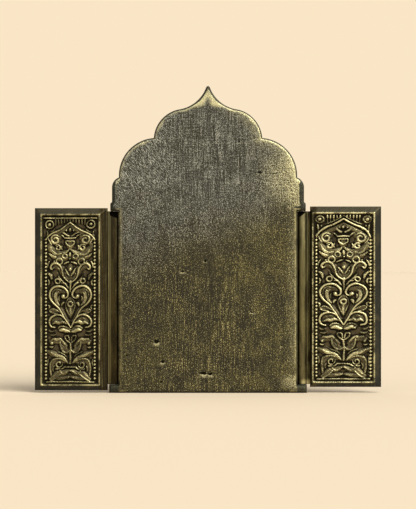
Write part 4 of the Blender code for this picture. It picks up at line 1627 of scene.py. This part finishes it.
    def border(self) -> Array:
        """Height of the beads or chevrons beside the carving, in metres.

        Returns:
            The heights on the grid.
        """
        s = self.sizes
        found = np.zeros_like(self.x)
        inside = (self.z > self.bead_low - s.bead_pitch / 2) & (self.z < self.bead_high)
        along = (self.z - self.bead_low) / s.bead_pitch
        swing = (along - np.round(along)) * s.bead_pitch
        for column, kind in zip(self.columns, (Beading.BEADS, self.cut.outer_border)):
            away = np.abs(self.x - column)
            if kind is Beading.BEADS:
                radius = s.bead_radius
                mark = self.strip_rise * np.clip(self.strip_reach - away / s.bead_radius, 0, 1)
            else:
                radius = self.chevron_bead * s.bead_radius
                slanted = along - away / s.bead_pitch * self.chevron_slant + self.chevron_shift
                slanted = np.abs(slanted - np.round(slanted)) * 2
                mark = np.clip(1 - slanted**2 * self.chevron_sharpness, 0, 1)
                mark = self.chevron_rise * mark
                mark = mark * np.clip(self.chevron_reach - away / s.bead_radius, 0, 1)
            bead = np.sqrt(np.clip(radius**2 - away**2 - swing**2, 0, None)) * self.bead_stretch
            found = np.maximum(found, np.where(inside, np.maximum(bead, mark), 0))
        return found

    def blurred(self, values: Array, reach: float) -> Array:
        """Values averaged over their neighbourhood.

        Args:
            values: Values on the grid.
            reach: Half width of the neighbourhood.

        Returns:
            The averages.
        """
        cells = max(1, round(reach / self.sizes.grid_pitch))
        for axis in (0, 1):
            for _ in range(2):
                width = [(0, 0), (0, 0)]
                width[axis] = (cells + 1, cells)
                total = np.cumsum(np.pad(values, width, mode="edge"), axis=axis)
                span = 2 * cells + 1
                high = np.take(total, range(span, total.shape[axis]), axis=axis)
                low = np.take(total, range(0, total.shape[axis] - span), axis=axis)
                values = (high - low) / span
        return values

    def shape(self, strokes: list[Stroke]) -> dict[str, Array]:
        """The finished heights and the marks that guide the finish.

        Args:
            strokes: The drawn strokes.

        Returns:
            The height in metres, and rise, hollow and bevel between 0 and 1.
        """
        s = self.sizes
        level, border = self.frame_level(), self.border()
        seed = 30 + self.cut.side.value
        ground = self.inside(self.ridge) - s.crest_width - s.crest_slope
        field_part = np.clip(ground / self.field_fade, 0, 1)
        carved = np.maximum(self.relief(strokes) * s.relief_rise, border) * field_part
        rough = sum(soft_noise(self.x, self.z, pitch, seed + 5 * index) * share
                    for index, (pitch, share) in enumerate(self.roughness)) * MM
        inner = np.clip(self.inside(self.face) / self.edge_fade, 0, 1)
        frame_part = self.blurred(level, self.frame_blur) * inner + level * (1 - inner)
        height = frame_part + carved + rough * inner
        rise = np.clip((height - self.ground_level) / (self.full_rise * s.ground_depth), 0, 1.2)
        crest = np.clip(1 - ground / self.crest_fade, 0, 1)
        dulled = 0.18 + 0.24 * soft_noise(self.x, self.z, self.crest_pitch, seed + 20)
        rise = rise * (1 - crest * dulled) + np.clip(border / (0.6 * MM) - 0.6, 0, 0.4)
        around = self.blurred(height, self.hollow_blur) - self.hollow_start
        hollow = np.clip((around - height) / self.hollow_depth, 0, 1) * field_part
        bevel = np.clip((self.crest_fade - self.inside(self.ridge)) / self.bevel_fade, 0, 1)
        return {"height": height, "rise": rise, "hollow": hollow, "bevel": bevel}


# ---------------------------------------------------------------- wings


@dataclass
class Wing:
    """One wing: its carved panel, and the stile and pivots that it turns on."""

    cut: WingCut
    finish: WingFinish = WingFinish()
    stile_finish: StileFinish = StileFinish()
    sizes: WingSizes = WING
    hinge: HingeSizes = HINGE
    fullness: float = 0.72
    end_reach: float = 0.22 * MM
    carrier_round: float = 0.12 * MM
    strip_round: float = 0.15 * MM
    rod_round: float = 0.2 * MM
    strip_steps: int = 28
    # How brightly the rib, by rubbing and painted highlight, and the pins, by rubbing, are marked.
    rib_wear_and_shine: float = 0.9
    rod_wear: float = 0.25
    panel_angle: float = 50.0

    def panel(self, strokes: list[Stroke]) -> bpy.types.Object:
        """The carved panel with its square sides and recessed inner face.

        Args:
            strokes: The drawn strokes.

        Returns:
            The panel.
        """
        carved = CarvedFace(self.cut, self.sizes)
        shape = carved.shape(strokes)
        rows, columns = carved.x.shape
        top = np.stack([carved.x, INNER_Y - shape["height"], carved.z], 2).reshape(-1, 3)
        index = np.arange(rows * columns).reshape(rows, columns)
        cells = np.stack([index[:-1, :-1], index[:-1, 1:], index[1:, 1:], index[1:, :-1]], 2)
        faces = [tuple(c) for c in cells.reshape(-1, 4).tolist()]
        rim = np.concatenate([index[0, :-1], index[:-1, -1], index[-1, :0:-1], index[:0:-1, 0]])
        points = [tuple(p) for p in top.tolist()]
        x0, z0, x1, z1 = carved.face
        margin = self.sizes.inner_margin
        previous = rim.tolist()
        depth = self.sizes.inner_depth
        for inset, y in ((0.0, INNER_Y), (margin, INNER_Y), (margin, INNER_Y - depth)):
            first = len(points)
            for corner in rim.tolist():
                px = min(max(top[corner][0], x0 + inset), x1 - inset)
                pz = min(max(top[corner][2], z0 + inset), z1 - inset)
                points.append((px, y, pz))
            ring = list(range(first, len(points)))
            count = len(ring)
            faces += [(previous[k], previous[(k + 1) % count], ring[(k + 1) % count], ring[k])
                      for k in range(count)]
            previous = ring
        faces.append(tuple(previous))
        made = Workshop.piece(self.cut.body.value + "_carved_panel", points, faces)
        for name, still in (("rise", 0.5), ("hollow", 0.0), ("bevel", 1.0)):
            values = np.full(len(points), still)
            values[: rows * columns] = shape[name].ravel()
            Workshop.mark(made, name, values)
        Workshop.edit(made, partial(bpy.ops.mesh.remove_doubles, threshold=MERGE_DISTANCE),
                      partial(bpy.ops.mesh.normals_make_consistent, inside=False))
        return made

    def carrier(self) -> bpy.types.Object:
        """The flange and the web that join the panel to the barrel.

        Returns:
            The carrier.
        """
        h = self.hinge
        seat_y = INNER_Y - h.tuck
        flange_y = seat_y - h.flange_thickness
        web_x, arm_y = STILE_X + h.web_width, AXIS_Y - h.arm_depth
        lap_x = PANEL_X + h.panel_lap
        outline = [(AXIS_X, arm_y), (STILE_X, arm_y), (STILE_X, flange_y), (lap_x, flange_y),
                   (lap_x, seat_y), (web_x, seat_y), (web_x, AXIS_Y), (AXIS_X, AXIS_Y)]
        low, high = STILE_BOTTOM - self.end_reach, STILE_TOP + self.end_reach
        return Workshop.softened(Workshop.bar("carrier", outline, low, high), self.carrier_round)

    def strip(self) -> bpy.types.Object:
        """The half-round strip of the stile, cut off at a slant at its top.

        Returns:
            The strip.
        """
        h = self.hinge
        flange_y = INNER_Y - h.tuck - h.flange_thickness
        seat = flange_y + 3 * h.tuck
        start, end = (STILE_X + h.tuck, seat), (STILE_X + h.stile_width, seat)
        crown = (STILE_X + h.stile_width / 2, flange_y - h.stile_rise)
        half, rise, steps = (end[0] - start[0]) / 2, seat - crown[1], self.strip_steps
        outline = []
        for step in range(steps + 1):
            turn = math.pi * step / steps
            across, proud = -math.cos(turn), math.sin(turn)
            outline.append((crown[0] + half * math.copysign(abs(across) ** self.fullness, across),
                            seat - rise * proud ** self.fullness))
        made = Workshop.bar("strip", outline, STILE_BOTTOM + h.tuck, STILE_TOP - h.tuck)
        Workshop.edit(made, partial(
            bpy.ops.mesh.bisect, plane_co=(STILE_X, 0, STILE_TOP - h.stile_cut),
            plane_no=(-self.stile_finish.cut_slope, 0, 1), use_fill=True, clear_outer=True))
        return Workshop.softened(made, self.strip_round)

    def rib(self) -> bpy.types.Object:
        """The thin rib along the outer side of the strip.

        Returns:
            The rib.
        """
        h = self.hinge
        flange_y = INNER_Y - h.tuck - h.flange_thickness
        edge_x, tuck = STILE_X + h.stile_width, h.tuck
        low = (edge_x - 3 * tuck, flange_y - h.rib_height, STILE_BOTTOM + 2 * tuck)
        high = (edge_x + h.rib_width - tuck, flange_y + 2 * tuck, STILE_TOP - 2 * tuck)
        return Workshop.softened(Workshop.block("rib", low, high), self.rod_round, 3)

    def pivots(self) -> list[bpy.types.Object]:
        """The barrel and the pivot that runs out of both its ends.

        Returns:
            The barrel and the pivot.
        """
        h = self.hinge
        made = []
        for name, radius, longer, sides in (("barrel", h.barrel_radius, h.tuck / 2, 32),
                                            ("pin", h.pivot_radius, h.pivot_length, 24)):
            low, high = STILE_BOTTOM - longer, STILE_TOP + longer
            rod = Workshop.rod(name, (AXIS_X, AXIS_Y), radius, low, high, sides)
            made.append(Workshop.softened(rod, self.rod_round))
        return made

    def stile(self) -> bpy.types.Object:
        """The whole stile as one piece with its rubbed edges marked, the rib's brightness partly
        painted highlight.

        Returns:
            The stile.
        """
        parts = [(self.carrier(), 0.0), (self.strip(), 0.0), (self.rib(), self.rib_wear_and_shine)]
        parts += [(item, self.rod_wear) for item in self.pivots()]
        bpy.ops.object.select_all(action="DESELECT")
        for item, rubbed in parts:
            Workshop.mark(item, "rubbed", np.full(len(item.data.vertices), rubbed))
            item.select_set(True)
        bpy.context.view_layer.objects.active = parts[0][0]
        bpy.ops.object.join()
        made = bpy.context.object
        made.name = self.cut.body.value + "_stile"
        return made

    def build(self, strokes: list[Stroke]) -> list[bpy.types.Object]:
        """Builds and dresses the wing.

        Args:
            strokes: The drawn strokes.

        Returns:
            The finished pieces.
        """
        panel, stile = self.panel(strokes), self.stile()
        for item, finish in ((panel, self.finish), (stile, self.stile_finish)):
            if self.cut.side is Side.LEFT:
                item.data.transform(Matrix.Diagonal((-1, 1, 1, 1)))
                item.data.flip_normals()
            Workshop.smooth(item, self.panel_angle if item is panel else SHARP_ANGLE)
            item.data.materials.clear()
            item.data.materials.append(finish.material())
            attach(item, self.cut.body.value)
        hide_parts(self.cut.body.value)
        return [panel, stile]


# ---------------------------------------------------------------- studio


@dataclass(frozen=True)
class Studio:
    """The pale floor and backdrop, the soft light and the camera."""

    paper: Colour = (0.955, 0.791, 0.565)
    sky: Colour = (1.0, 0.98, 0.95)
    sky_strength: float = 0.62
    sun_colour: Colour = (1.0, 0.98, 0.94)
    sun_strength: float = 3.4
    sun_from: Sequence[float] = (0.75, -0.80, 0.95)
    sun_spread: float = 48.0
    room: float = 7.0
    wall_foot: float = -0.01
    wall_height: float = 3.5
    wall_steps: int = 32
    wall_spread: float = 150.0
    picture_height: float = 248.4 * MM
    eye_height: float = 67.6 * MM
    distance: float = 1.0
    sensor: float = 36.0

    def paper_material(self, name: str, glow: float) -> bpy.types.Material:
        """Plain paper, which may glow so that it looks as even as the floor.

        Args:
            name: The material's name.
            glow: Share of its colour that it gives out by itself.

        Returns:
            The material.
        """
        sun = self.sun_strength * Vector(self.sun_from).normalized().z / math.pi
        light = [self.sky_strength * a + sun * b for a, b in zip(self.sky, self.sun_colour)]
        net = Net(name)
        colour = tuple(c * (1 - glow) / tone for c, tone in zip(self.paper, light))
        inputs = {"Base Color": colour, "Roughness": 1.0, "Specular IOR Level": 0.0}
        if glow:
            inputs |= {"Emission Color": self.paper, "Emission Strength": glow}
        for key, value in inputs.items():
            net.feed(net.shader.inputs[key], value)
        return net.material

    def floor(self) -> None:
        """A wide round floor."""
        bpy.ops.mesh.primitive_circle_add(vertices=96, radius=self.room, fill_type="NGON")
        made = bpy.context.object
        made.name = "studio_floor"
        made.data.materials.append(self.paper_material("studio_paper", 0.0))

    def backdrop(self) -> None:
        """A curved wall behind the object, open on the camera's side."""
        steps, spread = self.wall_steps, math.radians(self.wall_spread)
        points = []
        for step in range(steps + 1):
            turn = math.radians(90) + spread * (step / steps - 0.5)
            x, y = self.room * math.cos(turn), self.room * math.sin(turn)
            points += [(x, y, z) for z in (self.wall_foot, self.wall_height)]
        faces = [(2 * k, 2 * k + 1, 2 * k + 3, 2 * k + 2) for k in range(steps)]
        made = Workshop.piece("studio_backdrop", points, faces)
        Workshop.smooth(made, 60)
        made.visible_diffuse = False
        made.data.materials.append(self.paper_material("studio_backdrop_paper", 1.0))

    @staticmethod
    def hung(data: bpy.types.ID) -> bpy.types.Object:
        """Hangs a light or a camera in the scene, under its own name.

        Args:
            data: The light or the camera.

        Returns:
            Its object.
        """
        made = bpy.data.objects.new(data.name, data)
        bpy.context.scene.collection.objects.link(made)
        return made

    def sun(self) -> None:
        """The large soft light from the upper right."""
        data = bpy.data.lights.new("key", "SUN")
        data.energy = self.sun_strength
        data.angle = math.radians(self.sun_spread)
        data.color = self.sun_colour
        made = self.hung(data)
        made.rotation_euler = Vector(self.sun_from).to_track_quat("Z", "Y").to_euler()

    def camera(self) -> None:
        """The camera, level with the middle of the picture."""
        data = bpy.data.cameras.new("camera")
        data.sensor_width = self.sensor
        data.lens = self.sensor * self.distance / self.picture_height
        data.clip_start = 0.05
        made = self.hung(data)
        made.location = (0.0, PLATE.back_y - self.distance, self.eye_height)
        made.rotation_euler = (math.radians(90), 0.0, 0.0)
        bpy.context.scene.camera = made

    def world(self) -> None:
        """An even pale sky."""
        sky = bpy.data.worlds.new("studio_sky")
        sky.use_nodes = True
        back = sky.node_tree.nodes["Background"]
        back.inputs["Color"].default_value = (*self.sky, 1.0)
        back.inputs["Strength"].default_value = self.sky_strength
        bpy.context.scene.world = sky
        bpy.context.scene.view_settings.view_transform = "Standard"

    def build(self) -> None:
        """Sets up the floor, backdrop, light, sky and camera."""
        self.floor()
        self.backdrop()
        self.world()
        self.sun()
        self.camera()


def main() -> None:
    """Builds every piece in order and the studio round them."""
    logging.basicConfig(level=logging.INFO, format="%(name)s: %(message)s")
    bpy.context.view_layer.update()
    plate = CentralPlate().build()
    LOG.info("%s: %d faces", plate.name, len(plate.data.polygons))
    # The left stile keeps the darker brown as painted shade, with a painted highlight line on its
    # rib; the right stile has a lighter brown and a painted sheen down its crown.
    left = Wing(LEFT_CUT, WingFinish(top=(0.56, 0.51, 0.26)),
                StileFinish(line=0.45, cut_slope=0.35), fullness=0.5)
    right = Wing(RIGHT_CUT, WingFinish(),
                 StileFinish(brown=(0.105, 0.091, 0.034), sheen=0.26, wear_and_shine=0.16))
    high = Ornament(HIGH_CANOPY, HIGH_FLUTES)
    for wing, ornament in ((left, Ornament()), (right, high)):
        for piece in wing.build(ornament.draw()):
            LOG.info("%s: %d faces", piece.name, len(piece.data.polygons))
    Studio().build()


if __name__ == "__main__":
    main()
